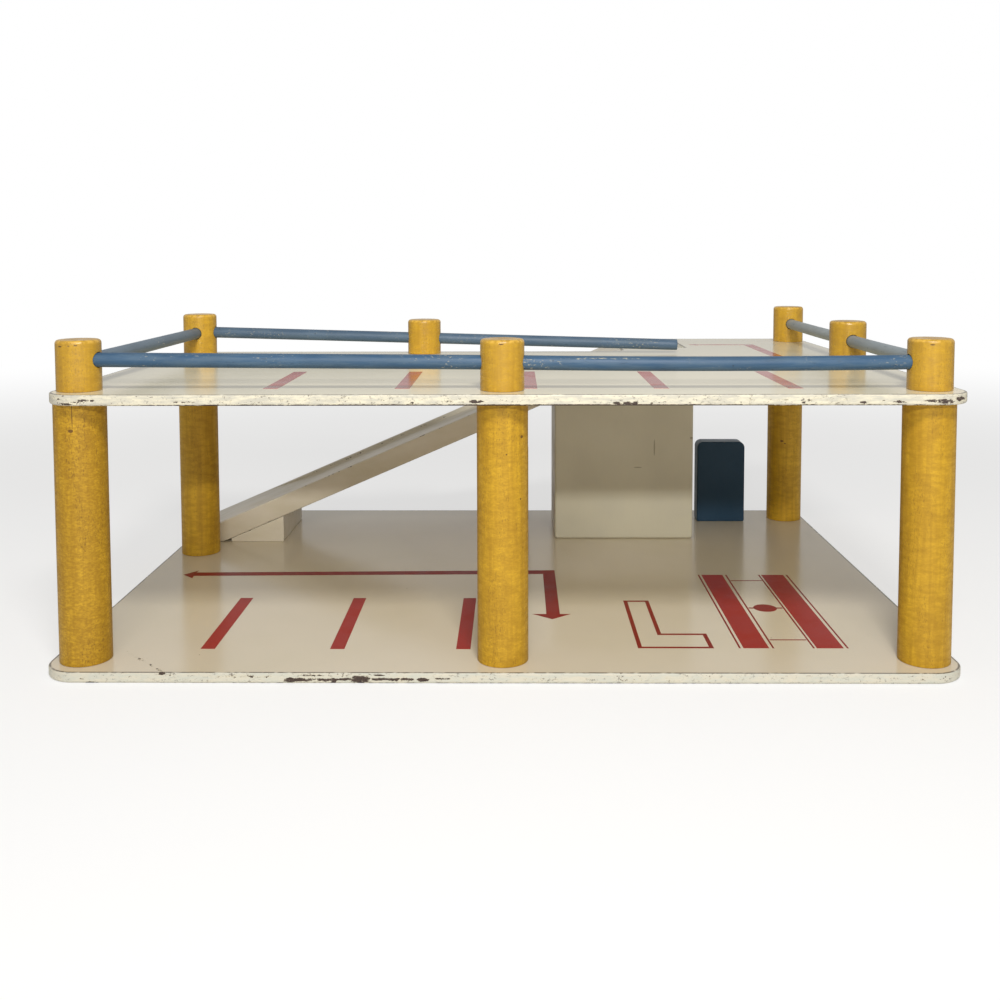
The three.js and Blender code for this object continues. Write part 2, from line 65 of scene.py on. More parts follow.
# Worn places of a piece, each with the X, Y and Z of its middle and half its size along each,
# in millimetres, and then how deep it goes. The long places at the boards' lower edges are partly
# painted shade, and the long places on the front rails are partly a painted highlight.
WEAR_AND_PAINTED_LIGHT = {
    "base_board": [
        (-182.9, -187.6, 5.6, 2.8, 2, 1, 0.72), (-178.4, -188, 4.8, 1, 2, 0.6, 0.7),
        (-226, -186.6, 2.6, 1.6, 3, 1.1, 0.75), (-221, -186.8, 0.6, 5, 3, 0.7, 0.75),
        (-140, -188, 4, 22, 2, 1.2, 0.44), (-114, -188, 2, 3.7, 2, 1.8, 0.72),
        (-106, -188, 2.4, 8, 2, 1.3, 0.72), (-97, -188, 2.4, 8, 2, 1.1, 0.72),
        (-90.6, -188, 1.6, 1.8, 2, 2, 0.8), (-86, -188, 2.5, 6, 2, 0.8, 0.8),
        (-76.2, -188, 2.3, 6.9, 2, 2.8, 0.72), (-66, -188, 2.6, 9.2, 2, 1, 0.72),
        (-54, -188, 2.4, 9.2, 2, 1.3, 0.72), (-43, -188, 2.3, 4.1, 2, 1.3, 0.72),
        (-66, -188, 4.8, 4, 2, 0.6, 0.75), (-103, -188, 4.6, 9, 2, 0.7, 0.6),
        (-32, -188, 3, 6, 2, 0.6, 0.6), (235, -183.6, 3.2, 3.2, 4, 0.9, 0.8),
        (239.6, -180.6, 3.6, 1.6, 3, 0.8, 0.75), (224, -187, 2.6, 1.4, 2, 0.8, 0.6),
        # The second place on the next line runs along the base's foot. It is partly painted shade where
        # the board meets the floor, and partly worn paint.
        (246, -172, 4.4, 3, 6, 0.8, 0.5), (0, -188, 0.2, 250, 3, 0.6, 0.55),
        (60, -188, 2.6, 120, 2, 1.6, 0.26),
    ],
    "deck_board": [
        (-221.5, -187.8, 153.1, 3.7, 2, 0.9, 0.72), (-225.6, -187.4, 152.1, 3.9, 2, 0.8, 0.72),
        (-230.5, -187, 151.1, 4.6, 3, 0.7, 0.72), (-235.2, -185.4, 153.6, 1.4, 3, 0.7, 0.7),
        (-216.6, -188, 153, 1.4, 2, 0.7, 0.7), (-168, -188, 152.2, 9, 2, 0.9, 0.45),
        (-47, -188, 151.6, 6, 2, 0.9, 0.5), (-29, -188, 152.4, 5, 2, 0.9, 0.5),
        (-13.2, -188, 152.4, 5.1, 2, 1.3, 0.72), (60.4, -188, 151.4, 2.6, 2, 1.1, 0.72),
        (65.2, -188, 151.5, 3.2, 2, 1, 0.72), (70, -188, 151.4, 2, 2, 1.3, 0.72),
        (78.8, -188, 151.6, 1.3, 2, 0.7, 0.72), (158.7, -188, 151.7, 1.4, 2, 1, 0.72),
        (176, -188, 151.6, 6, 2, 0.6, 0.5), (190.1, -188, 151.8, 3, 2, 0.9, 0.72),
        (200.5, -188, 152.8, 1.2, 2, 0.6, 0.7), (208.4, -188, 152.1, 3.4, 2, 0.8, 0.72),
        (212.6, -188, 151.7, 2.2, 2, 0.4, 0.8), (226, -187.6, 152.5, 5.1, 2, 1.1, 0.72),
        (233, -187.2, 152.3, 6.4, 3, 1.5, 0.72), (241.6, -184, 153.2, 5.8, 5, 1.4, 0.72),
        # The second place on the next line and both on the line after run along the deck's lower edges.
        # They are partly painted shade under the edge, and partly paint worn off the arris.
        (247.6, -176, 154, 3, 4, 2.1, 0.72), (0, -188, 150.2, 275, 5, 0.75, 0.78),
        (-249, 0, 150.2, 5, 190, 0.7, 0.7), (250, 20, 150.2, 5, 190, 0.7, 0.7),
        (-60, -188, 152.8, 130, 2, 1.6, 0.28), (150, -188, 153, 70, 2, 1.6, 0.28),
    ],
    "post_front_left": [
        (-231.3, -181, 135.6, 1.3, 6, 0.9, 1.0), (-230.4, -181, 143.4, 0.26, 6, 7.5, 0.7),
        (-226.5, -181, 84, 0.5, 6, 30, 0.34), (-217.5, -179, 34, 0.4, 6, 26, 0.34),
        (-226, -181, 24, 0.4, 6, 18, 0.34),
    ],
    "post_front_middle": [
        (10.5, -178.6, 131.7, 0.7, 6, 0.9, 1.0), (2.3, -181, 122.8, 0.5, 6, 0.5, 0.7),
        (9.8, -178, 98, 0.4, 6, 0.7, 0.6),
    ],
    "post_rear_right": [
        (228.6, 147.8, 73.6, 1.3, 6, 0.8, 0.8), (231, 147.4, 71.6, 0.8, 6, 0.5, 0.7),
    ],
    "cap_front_left": [
        (-237.2, -177.6, 180.8, 1.1, 4, 0.4, 0.8), (-228.4, -178.4, 181.4, 1.0, 4, 0.35, 0.75),
        (-232, -178.6, 181.2, 0.7, 4, 0.3, 0.7),
    ],
    "cap_front_middle": [
        (-0.4, -178.6, 181.8, 1.4, 4, 0.4, 0.75),
    ],
    "cap_front_right": [
        (229, -178.6, 181.2, 1.3, 4, 0.4, 0.7),
    ],
    # The long places on the two front rails in the next entries give pale flecks. These are partly worn
    # paint and partly a painted highlight along the rail.
    "rail_front_left": [
        (-40, -171.5, 175, 36, 3, 1.0, 0.52), (-150, -171.5, 175, 60, 3, 1.0, 0.36),
    ],
    "rail_front_right": [
        (56, -171, 173.4, 60, 3, 1.2, 0.56), (178, -169, 177.2, 9, 5, 1.2, 0.5),
    ],
    "shaft_front_wall": [
        (115.7, 92, 78.2, 0.55, 3, 6.6, 1.0), (102.8, 92, 62.5, 3.4, 3, 0.45, 0.8),
        (144.6, 92, 85.7, 1.2, 3, 0.9, 1.0),
    ],
}

# Ways the rails lie: along X or Y, the signs of their drift sideways and upwards, their sag in
# millimetres, and how grey their paint is, partly chalky paint and partly a painted sheen.
RAILS = {
    "front_left": ("X", 1, -1, 0.0, 0.0),
    "front_right": ("X", 0, 0, 0.9, 0.0),
    "left": ("Y", 1, 1, 0.0, 0.25),
    "rear": ("X", 0, -1, 0.0, 0.1),
    "right_front": ("Y", 0, 0, 0.3, 0.6),
    "right_rear": ("Y", 1, 0, 0.3, 0.8),
}

# How far each next rail's paint pattern is moved, in metres, so that no two are alike.
RAIL_OFFSET = (0.41, 0.13, 0.29)

# How light each post's stain is, partly as painted light and shade: darker for the front posts, lighter
# for the rear posts under the deck; and how strong its flecks and pores are.
POST_STAIN_LIGHT_AND_FIGURE = {
    "front_left": (0.88, 0.75),
    "front_middle": (0.94, 0.4),
    "front_right": (0.92, 0.3),
    "rear_left": (1.03, 0.15),
    "rear_right": (1.16, 0.15),
}
# How light the stain is on the caps at the rear and on the others, as painted light and shade that makes
# the rear caps lighter, and how strong their flecks are.
REAR_CAP_PAINTED_LIGHT = 1.12
OTHER_CAP_PAINTED_SHADE = 0.93
CAP_FIGURE = 0.25
# Where the caps' numbering starts, past the posts', so that no cap's wood is like a post's.
CAP_SEED = 7

# The darkest brown inside a chip, and white, as linear colours.
DEEP_CORE = (0.03, 0.02, 0.015, 1)
WHITE = (1, 1, 1, 1)
# The least area of a triangle and the least step in height, in metres, that isn't rounding error.
LEAST_AREA = 1e-14
LEAST_STEP = 1e-9


def to_linear(text):
    """An sRGB hex colour as linear red, green and blue."""
    parts = np.array([int(text[i:i + 2], 16) / 255 for i in (1, 3, 5)])
    low = parts / 12.92
    high = ((parts + 0.055) / 1.055) ** 2.4
    return tuple(float(c) for c in np.where(parts <= 0.04045, low, high))


def size(name, description, millimetres):
    """A length property, written in millimetres and held in metres."""
    return bpy.props.FloatProperty(
        name=name, description=description, default=millimetres * MM, unit="LENGTH", precision=5)


def tilt(name, description, radians):
    """An angle property, written and held in radians."""
    return bpy.props.FloatProperty(
        name=name, description=description, default=radians, subtype="ANGLE", precision=4)


def standing_at(name, description, millimetres):
    """A place property, written in millimetres."""
    metres = [v * MM for v in millimetres]
    return bpy.props.FloatVectorProperty(
        name=name, description=description, default=metres, size=3, subtype="TRANSLATION")


def lamp_size(name, description, millimetres):
    """A width and height property, written in millimetres."""
    metres = [v * MM for v in millimetres]
    return bpy.props.FloatVectorProperty(
        name=name, description=description, default=metres, size=2, unit="LENGTH")


def plain_value(name, description, value):
    """A plain number property."""
    return bpy.props.FloatProperty(name=name, description=description, default=value, precision=4)


def colour(name, description, text):
    """A colour property from its sRGB hex value."""
    linear = to_linear(text)
    return bpy.props.FloatVectorProperty(
        name=name, description=description, default=linear, size=3, subtype="COLOR", min=0, max=1)


class BoardSettings(bpy.types.PropertyGroup):
    """Sizes and colours of the two boards."""
    top_round: size("Top edge round", "Radius of the upper edge of a board", 0.7)
    foot_round: size("Lower edge round", "Radius of the lower edge of the base board", 1.7)
    deck_foot_round: size("Deck lower edge round", "Radius of the lower edge of the deck board", 1.445)
    line: size("Edge line", "How far in from the rim the fine dark line of the face runs", 1.0)
    corner: size("Corner radius", "Radius of a board's corners in plan", 18)
    rear_corner: size("Rear left radius", "Radius of the deck's rear left corner", 16)
    notch_corner: size("Notch corner radius", "Radius of the deck's inner corner", 12)
    notch_end: size("Notch end radius", "Radius where the notch meets the deck's rear side", 3)
    opening_corner: size("Opening corner radius", "Radius of the lift opening's corners", 0.6)
    step: size("Edge spacing", "Distance between points along a board's edge", 0.8)
    base_paint: colour("Base face paint", "Cream enamel of the base board's face", "#D3C7B0")
    deck_paint: colour("Deck face paint", "Cream enamel of the deck board's face", "#EDE3C4")
    aged: colour("Aged paint", "Yellowed patches of the enamel", "#C3B794")
    # The edge paints are set greyer than the face paints as painted shade, against the strong front light
    # on the edges.
    base_edge_and_shade: colour("Base edge paint", "Brushed paint of the base board's edge", "#BFBEB0")
    deck_edge_and_shade: colour("Deck edge paint", "Brushed paint of the deck board's edge", "#BBB6A6")
    core: colour("Board core", "Dark brown hardboard where the paint is chipped", "#4A3A31")
    line_paint: colour("Edge line colour", "Dirt in the line along the face's rim", "#54493C")


class WoodSettings(bpy.types.PropertyGroup):
    """Sizes and colours of the posts and the caps."""
    cap_round: size("Cap top round", "Radius of a cap's upper edge", 2.0)
    foot_round: size("Foot round", "Radius of a turned piece's lower edge", 0.5)
    spacing: size("Turning spacing", "Distance between points up a turned piece", 1.0)
    hole_gap: size("Hole gap", "Gap round a rail in its hole", 0.4)
    post_waver: size("Post waver", "How far a post's surface wavers from round", 0.06)
    cap_waver: size("Cap waver", "How far a cap's surface wavers from round", 0.08)
    post: colour("Post stain", "Yellow stain on the posts", "#CEA126")
    post_dark: colour("Post figure", "Darker figure of the posts", "#956C15")
    cap: colour("Cap stain", "Yellow stain on the caps", "#CFA22E")
    cap_dark: colour("Cap figure", "Darker figure of the caps", "#A0771E")
    pore: colour("Pores", "Dark pores and nicks in the wood", "#5E3F18")


class RailSettings(bpy.types.PropertyGroup):
    """Sizes and colours of the rails."""
    diameter: size("Rail diameter", "Diameter of the dowel rails", 8)
    spacing: size("Rail spacing", "Distance between points along a rail", 2.5)
    paint: colour("Rail paint", "Blue enamel of the rails", "#32516D")
    worn: colour("Worn paint", "Rubbed, paler streaks of the rails", "#576B7A")
    # The chalky grey is partly a painted sheen on rails that are seen along their length.
    chalk: colour("Chalky paint", "Grey bloom on the weathered rails", "#B4B9B4")
    bare: colour("Bare wood", "Pale wood where the paint is gone", "#C9BFA2")
    dirt: colour("Dirt", "Dark lines and specks on the rails", "#2A3540")


class MarkSettings(bpy.types.PropertyGroup):
    """Sizes and colours of the markings on the boards."""
    film: size("Paint film", "Thickness of the markings", 0.06)
    paint: colour("Marking red", "Red of the bars and stripes on the base", "#972317")
    faded: colour("Faded red", "Paler red where a marking is rubbed", "#A23526")
    outline_paint: colour("Line red", "Darker red of the outlines and the route on the base", "#811E11")
    # The deck's red is paler than the base's as a painted sheen on the glossy deck.
    deck_paint: colour("Deck marking red", "Paler red of the markings on the deck", "#B44E3C")


class RampSettings(bpy.types.PropertyGroup):
    """Sizes and colours of the ramp and its wedge."""
    thickness: size("Plank thickness", "Thickness of the ramp's plank", 15)
    nose: size("Nose height", "Height of the ramp's low end over the base board", 5.16)
    channel: size("Channel depth", "Depth of the channel between the kerbs", 3.5)
    kerb: size("Kerb width", "Width of each kerb", 6)
    lip: size("Kerb lip", "Width over which a kerb's inner edge is rounded", 0.8)
    round: size("Edge round", "Radius of the plank's long edges", 1.1)
    end_round: size("End round", "How far the plank's upper face falls at its ends", 0.6)
    wedge_round: size("Wedge round", "Radius of the wedge's edges", 0.5)
    low_start: size("Channel start", "Distance from the board's left side to the channel's low end", 50)
    high_end: size("Channel end", "Distance from the ramp's top to the channel's high end", 14)
    fade: size("Channel fade", "Length over which the channel runs out", 40)
    paint: colour("Ramp paint", "Cream enamel of the ramp", "#DDD3BF")
    edge: colour("Rubbed paint", "Whiter worn edges of the ramp", "#E6DFCE")


class ShaftSettings(bpy.types.PropertyGroup):
    """Sizes and colours of the lift shaft, the lift and the pumps."""
    front_round: size("Front board round", "Radius of the front board's outer edges", 1.6)
    board_round: size("Board edge round", "Radius of the other boards' edges", 0.3)
    fit: size("Fit gap", "Gap between pieces that touch", 0.3)
    slide: size("Slide gap", "Gap between the lift and its guides", 0.4)
    block_round: size("Block round", "Radius of the lift block's edges", 0.6)
    knob_round: size("Knob round", "Radius of the knob's outer edge", 3.0)
    neck: size("Knob neck", "Radius of the knob's neck", 4.0)
    pump_round: size("Pump edge round", "Radius of the pump blocks' edges", 1.0)
    pump_corner: size("Pump corner", "Radius of the pump blocks' upper corners", 5)
    screw: size("Screw head", "Radius of the screw heads under the base", 3.6)
    screw_depth: size("Screw head depth", "Depth of a screw head's cone", 2.2)
    screw_sink: size("Screw sink", "How far a screw head lies inside its recess", 0.25)
    screw_slot: size("Screw slot", "Width of a screw head's slot", 0.9)
    screw_turn: tilt("Screw turn", "How far each next screw is turned", 1.1)
    paint: colour("Shaft paint", "Cream enamel of the shaft", "#D2CBB2")
    red: colour("Pump red", "Red enamel of one pump block", "#8E2A20")
    # The blue is darkened as painted shade, standing for the pump's shaded top and left side under the
    # deck.
    blue: colour("Pump blue", "Dark blue enamel of the other pump block", "#294358")
    knob: colour("Knob red", "Red enamel of the lift's knob", "#A8322A")
    bare: colour("Bare wood", "Unpainted wood of strips and pegs", "#C9A873")
    zinc: colour("Screw zinc", "Dull zinc of the screws", "#9A978F")


class StageSettings(bpy.types.PropertyGroup):
    """The camera, the floor and the light."""
    lens: plain_value("Lens", "Focal length in millimetres", 39.905)
    shift_x: plain_value("Shift X", "Sideways shift of the view", -0.0048)
    shift_y: plain_value("Shift Y", "Upward shift of the view", -0.1763)
    eye: standing_at("Eye", "Place of the camera", (7.13, -767.85, 230.77))
    pitch: tilt("Pitch", "Upward tilt of the camera", -0.0643)
    yaw: tilt("Yaw", "Turn of the camera to the right", -0.0095)
    roll: tilt("Roll", "Roll of the camera to the right", -0.0022)
    floor: colour("Floor", "Pale floor", "#F1EFEB")
    reach: size("Floor reach", "Half the width of the floor", 8000)
    near: size("Floor fade start", "Distance at which the floor begins to fade to white", 500)
    far: size("Floor fade end", "Distance at which the floor is white", 1800)
    lift: plain_value("Floor lift", "Share of plain white in what the camera sees of the near floor", 0.6)
    low: plain_value("Low light", "Power of the long low lamp in watts", 12.0)
    low_size: lamp_size("Low light size", "Width and height of the long low lamp", (900, 55))
    low_place: standing_at("Low light place", "Place of the long low lamp", (60, -1600, 705))
    low_aim: standing_at("Low light aim", "Place that the long low lamp points at", (0, 0, 80))
    upper: plain_value("Upper light", "Power of the upper lamp in watts", 6.0)
    upper_size: lamp_size("Upper light size", "Width and height of the upper lamp", (200, 140))
    upper_place: standing_at("Upper light place", "Place of the upper lamp", (80, -790, 820))
    upper_aim: standing_at("Upper light aim", "Place that the upper lamp points at", (0, -188, 150))
    sky: plain_value("Sky light", "Strength of the surrounding light", 0.32)
    mirrored: plain_value("Mirrored light", "Brightness of the surroundings in glossy paint", 0.62)


def cad_box(node):
    """The lowest and highest corners of a CAD node as arrays, in metres."""
    low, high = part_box(node)
    return np.array(low, float), np.array(high, float)


def worn(node, points):
    """How worn a piece's points are, with the painted shade and highlight of some places included: the
    largest over its worn places of depth times exp(-(u^2)^2), where u is the distance from the place's
    middle in half sizes."""
    total = np.zeros(len(points))
    for x, y, z, a, b, c, depth in WEAR_AND_PAINTED_LIGHT.get(node, ()):
        away = (points - np.array([x, y, z]) * MM) / (np.array([a, b, c]) * MM)
        total = np.maximum(total, depth * np.exp(-(away ** 2).sum(1) ** 2))
    return total


def put_mesh(name, points, blocks, values=None, flat=False):
    """A mesh object at the origin from points, arrays of faces and numbers stored on the points."""
    mesh = bpy.data.meshes.new(name)
    mesh.from_pydata(points.tolist(), [], [face for block in blocks for face in block.tolist()])
    mesh.polygons.foreach_set("use_smooth", np.full(len(mesh.polygons), not flat))
    for key, numbers in (values or {}).items():
        layer = mesh.attributes.new(key, "FLOAT", "POINT")
        layer.data.foreach_set("value", np.asarray(numbers, np.float32))
    mesh.validate()
    mesh.update()
    piece = bpy.data.objects.new(name, mesh)
    bpy.context.scene.collection.objects.link(piece)
    return piece


def joined(parts):
    """One array of points and one list of face arrays from several parts, with the faces counted on."""
    starts = np.cumsum([0, *[len(points) for points, _ in parts[:-1]]])
    points = np.concatenate([points for points, _ in parts])
    return points, [block + start for start, (_, blocks) in zip(starts, parts) for block in blocks]


def grid_quads(rows, columns, start=0):
    """Quads of a grid of points, row after row, wrapping round each row."""
    r, c = np.meshgrid(np.arange(rows - 1), np.arange(columns), indexing="ij")
    a = r * columns + c
    b = r * columns + (c + 1) % columns
    return np.stack([a, b, b + columns, a + columns], -1).reshape(-1, 4) + start


def arc(radius, steps, first, last):
    """Points of a circle's arc between two angles in degrees: radius times cosine and sine."""
    turn = np.radians(np.linspace(first, last, steps + 1))
    return np.stack([radius * np.cos(turn), radius * np.sin(turn)], -1)


def round_outline(corners, spacing, corner_steps=10):
    """A closed plan outline: straight sides split at a spacing, and each corner an arc of its own radius.

    Each corner is x, y and radius in metres. The arc's centre lies on the corner's bisector,
    its ends where the circle touches both sides."""
    corners = np.asarray(corners, float)
    places = corners[:, :2]
    pieces = []
    for i, (here, radius) in enumerate(zip(places, corners[:, 2])):
        back = places[i - 1] - here
        ahead = places[(i + 1) % len(places)] - here
        back = back / np.linalg.norm(back)
        ahead = ahead / np.linalg.norm(ahead)
        if radius <= 0:
            pieces.append(here[None])
            continue
        opening = math.acos(float(np.clip(back @ ahead, -1, 1))) / 2
        middle = back + ahead
        centre = here + middle / np.linalg.norm(middle) * radius / math.sin(opening)
        start = here + back * radius / math.tan(opening) - centre
        end = here + ahead * radius / math.tan(opening) - centre
        whole = math.atan2(start[0] * end[1] - start[1] * end[0], start @ end)
        turn = np.linspace(0, whole, corner_steps + 1)[:, None]
        pieces.append(centre + start * np.cos(turn) + np.array([-start[1], start[0]]) * np.sin(turn))
    loop = []
    for i, piece in enumerate(pieces):
        start = piece[-1]
        end = pieces[(i + 1) % len(pieces)][0]
        count = max(int(np.linalg.norm(end - start) / spacing), 1)
        share = np.arange(1, count)[:, None] / count
        loop += [piece, start + (end - start) * share]
    return np.concatenate(loop)


def outward(loop):
    """Unit normals of a closed plan outline, to its right: the chord of a point's neighbours, turned."""
    chord = np.roll(loop, -1, 0) - np.roll(loop, 1, 0)
    chord = chord / np.linalg.norm(chord, axis=1, keepdims=True)
    return np.stack([chord[:, 1], -chord[:, 0]], -1)


def rim_rows(thickness, top_round, foot_round, line, steps, wall):
    """Insets, heights, edge line and arris values down a board's rim: two quarter rounds and a wall.

    A quarter round of radius r is inset r - r sin t and lies r - r cos t below the face, and the foot's
    is the same upside down; the arris value is sin 2t. A line adds a row on the face that far in and
    one 1.7 times as far, where it has faded; down the round it is 1.3 - t / 45 degrees, from 0 to 1."""
    turn = np.radians(np.linspace(0, 90, steps + 1))
    top = np.stack([top_round * (1 - np.sin(turn)), thickness - top_round * (1 - np.cos(turn))], -1)
    foot = np.stack([foot_round * (1 - np.cos(turn)), foot_round * (1 - np.sin(turn))], -1)
    top_arris = np.sin(2 * turn)
    foot_arris = top_arris
    if top_round == 0:
        top, top_arris = top[-1:], top_arris[-1:]
    if foot_round == 0:
        foot, foot_arris = foot[:1], foot_arris[:1]
    levels = np.linspace(thickness - top_round, foot_round, wall + 2)[1:-1]
    rows = np.concatenate([top, np.stack([0 * levels, levels], -1), foot])
    arris = np.concatenate([top_arris, 0 * levels, foot_arris])
    painted = np.zeros(len(rows))
    if line > 0:
        painted[:steps + 1] = np.clip(1.3 - turn / math.radians(45), 0, 1)
        rows = np.concatenate([[[line * 1.7, thickness], [line, thickness]], rows])
        arris = np.concatenate([[0, 0], arris])
        painted = np.concatenate([[0, 1], painted])
    return rows[:, 0], rows[:, 1], painted, arris


def flat_face(points, rings):
    """Triangles of a flat face between closed rings, by a Delaunay triangulation that keeps their edges.

    A triangle belongs to the face if it has an area and a line from its middle along X crosses the rings
    an odd number of times."""
    places = np.concatenate(rings)
    starts = np.cumsum([0, *[len(ring) for ring in rings[:-1]]])
    edges = [start + np.stack([np.arange(len(ring)), (np.arange(len(ring)) + 1) % len(ring)], -1)
             for start, ring in zip(starts, rings)]
    edges = np.concatenate(edges)
    plan = points[places][:, :2]
    corners = [Vector(corner) for corner in plan.tolist()]
    _, _, faces, sources, _, _ = delaunay_2d_cdt(corners, edges.tolist(), [], 0, LEAST_STEP)
    if any(len(source) != 1 for source in sources):
        raise RuntimeError("an outline crosses or touches itself")
    triangles = np.array([source[0] for source in sources])[np.array(faces)]
    a, b, c = (plan[triangles[:, corner]] for corner in range(3))
    area = (b[:, 0] - a[:, 0]) * (c[:, 1] - a[:, 1]) - (b[:, 1] - a[:, 1]) * (c[:, 0] - a[:, 0])
    middle = (a + b + c) / 3
    start, end = plan[edges[:, 0]], plan[edges[:, 1]]
    passes = (start[:, 1] > middle[:, 1:]) != (end[:, 1] > middle[:, 1:])
    rise = np.where(start[:, 1] == end[:, 1], 1, end[:, 1] - start[:, 1])
    meets = start[:, 0] + (middle[:, 1:] - start[:, 1]) * (end[:, 0] - start[:, 0]) / rise
    inside = (passes & (meets > middle[:, :1])).sum(1) % 2 == 1
    keep = inside & (np.abs(area) > LEAST_AREA)
    triangles = places[triangles]
    return np.where(area[:, None] > 0, triangles, triangles[:, ::-1])[keep]


def slab_arrays(loops, thickness, top_round, foot_round, line=0.0, steps=6, wall=0):
    """Points, face arrays and values of a flat board from closed outlines: its rim, then its holes.

    The rim's rows are carried along each outline, inset along its normals; the two faces are flat."""
    inset, level, painted, arris = rim_rows(thickness, top_round, foot_round, line, steps, wall)
    rows = len(inset)
    on_rim = (level < thickness - LEAST_STEP) & (level > LEAST_STEP)
    points, blocks, tops, feet = [], [], [], []
    values = {"rim": [], "line": [], "arris": []}
    start = 0
    for loop in loops:
        count = len(loop)
        plan = loop[None] - outward(loop)[None] * inset[:, None, None]
        grid = np.concatenate([plan, np.broadcast_to(level[:, None, None], (rows, count, 1))], -1)
        points.append(grid.reshape(-1, 3))
        blocks.append(grid_quads(rows, count, start)[:, ::-1])
        for key, row_values in (("rim", on_rim), ("line", painted), ("arris", arris)):
            values[key].append(np.repeat(row_values.astype(float), count))
        tops.append(start + np.arange(count))
        feet.append(start + (rows - 1) * count + np.arange(count))
        start += rows * count
    points = np.concatenate(points)
    blocks += [flat_face(points, tops), flat_face(points, feet)[:, ::-1]]
    return points, blocks, {key: np.concatenate(parts) for key, parts in values.items()}


def slab(name, loops, thickness, top_round, foot_round, place, node=None, **options):
    """A board piece from closed outlines in its place, with flat faces and its node's worn places."""
    points, blocks, values = slab_arrays(loops, thickness, top_round, foot_round, **options)
    placed = place(points)
    if node:
        values["wear"] = worn(node, placed)
    piece = put_mesh(name, placed, blocks, values)
    smooth = np.ones(len(piece.data.polygons), bool)
    smooth[-sum(len(block) for block in blocks[-2:]):] = False
    piece.data.polygons.foreach_set("use_smooth", smooth)
    return piece


def lying(bottom):
    """Places a slab flat, its foot at a height: plan to X and Y, thickness to Z."""
    return lambda p: np.stack([p[:, 0], p[:, 1], p[:, 2] + bottom], -1)


def facing_front(rear):
    """Places a slab upright, drawn in X and Z, its thickness from a rear plane towards the front."""
    return lambda p: np.stack([p[:, 0], rear - p[:, 2], p[:, 1]], -1)


def facing_side(left):
    """Places a slab upright, drawn in Y and Z, its thickness from a left plane to the right."""
    return lambda p: np.stack([left + p[:, 2], p[:, 0], p[:, 1]], -1)


def rectangle(x0, y0, x1, y1, radius):
    """The corners of a rectangle, anticlockwise, with one radius."""
    return [(x0, y0, radius), (x1, y0, radius), (x1, y1, radius), (x0, y1, radius)]


def tube_faces(rows, segments):
    """Face arrays of a closed tube: the quads between its rings, and a fan at each end, round the two
    poles that follow its rings."""
    ring = np.arange(segments)
    ahead = (ring + 1) % segments
    foot = np.full(segments, rows * segments)
    last = (rows - 1) * segments
    return [grid_quads(rows, segments), np.stack([foot, ahead, ring], -1),
            np.stack([foot + 1, last + ring, last + ahead], -1)]


def turned_arrays(profile, centre, segments=96, axis="Z", waver=0.0, seed=0):
    """Points, face arrays and values of a turned piece: radius and height round an axis, poles closed.

    The radius is changed by waver times 0.6 sin(2t + p) + 0.4 sin(3t - p) cos(40z + p), with t round
    the axis, z in metres and p the seed times 1.7, and less near the axis. The arris value is
    exp(-(d / 0.9 mm)^2), d the height from 0.8 mm under the top."""
    profile = np.asarray(profile, float)
    turn = np.linspace(0, 2 * np.pi, segments, endpoint=False)
    phase = seed * 1.7
    share = profile[:, :1] / profile[:, 0].max()
    along = np.cos(profile[:, 1:] * 40 + phase)
    waves = 0.6 * np.sin(2 * turn + phase) + 0.4 * np.sin(3 * turn - phase) * along
    radius = profile[:, :1] + waver * share * waves
    height = np.broadcast_to(profile[:, 1:], radius.shape)
    grid = np.stack([radius * np.cos(turn), radius * np.sin(turn), height], -1).reshape(-1, 3)
    points = np.concatenate([grid, [[0, 0, profile[0, 1]], [0, 0, profile[-1, 1]]]])
    below = profile[:, 1].max() - 0.8 * MM - points[:, 2]
    outer = np.hypot(points[:, 0], points[:, 1]) > 0.8 * profile[:, 0].max()
    values = {"arris": np.exp(-(below / (0.9 * MM)) ** 2) * outer}
    if axis == "X":
        points = points[:, [2, 0, 1]]
    return points + np.asarray(centre), tube_faces(len(profile), segments), values


def turned(name, profile, centre, **options):
    """A turned piece in its place."""
    points, blocks, values = turned_arrays(profile, centre, **options)
    return put_mesh(name, points, blocks, values)


def stick_profile(radius, height, foot_round, top_round, spacing, steps=8):
    """Profile of a stick from foot to top: a flat end, a quarter round, a wall and a quarter round."""
    foot = arc(foot_round, steps, -90, 0) + [radius - foot_round, foot_round]
    top = arc(top_round, steps, 0, 90) + [radius - top_round, height - top_round]
    count = max(int((top[0, 1] - foot[-1, 1]) / spacing), 1)
    share = np.linspace(0, 1, count + 1)[1:-1, None]
    wall = foot[-1] + (top[0] - foot[-1]) * share
    inner = [[(radius - foot_round) / 2, 0]]
    outer = [[(radius - top_round) / 2, height]]
    return np.concatenate([inner, foot, wall, top, outer])


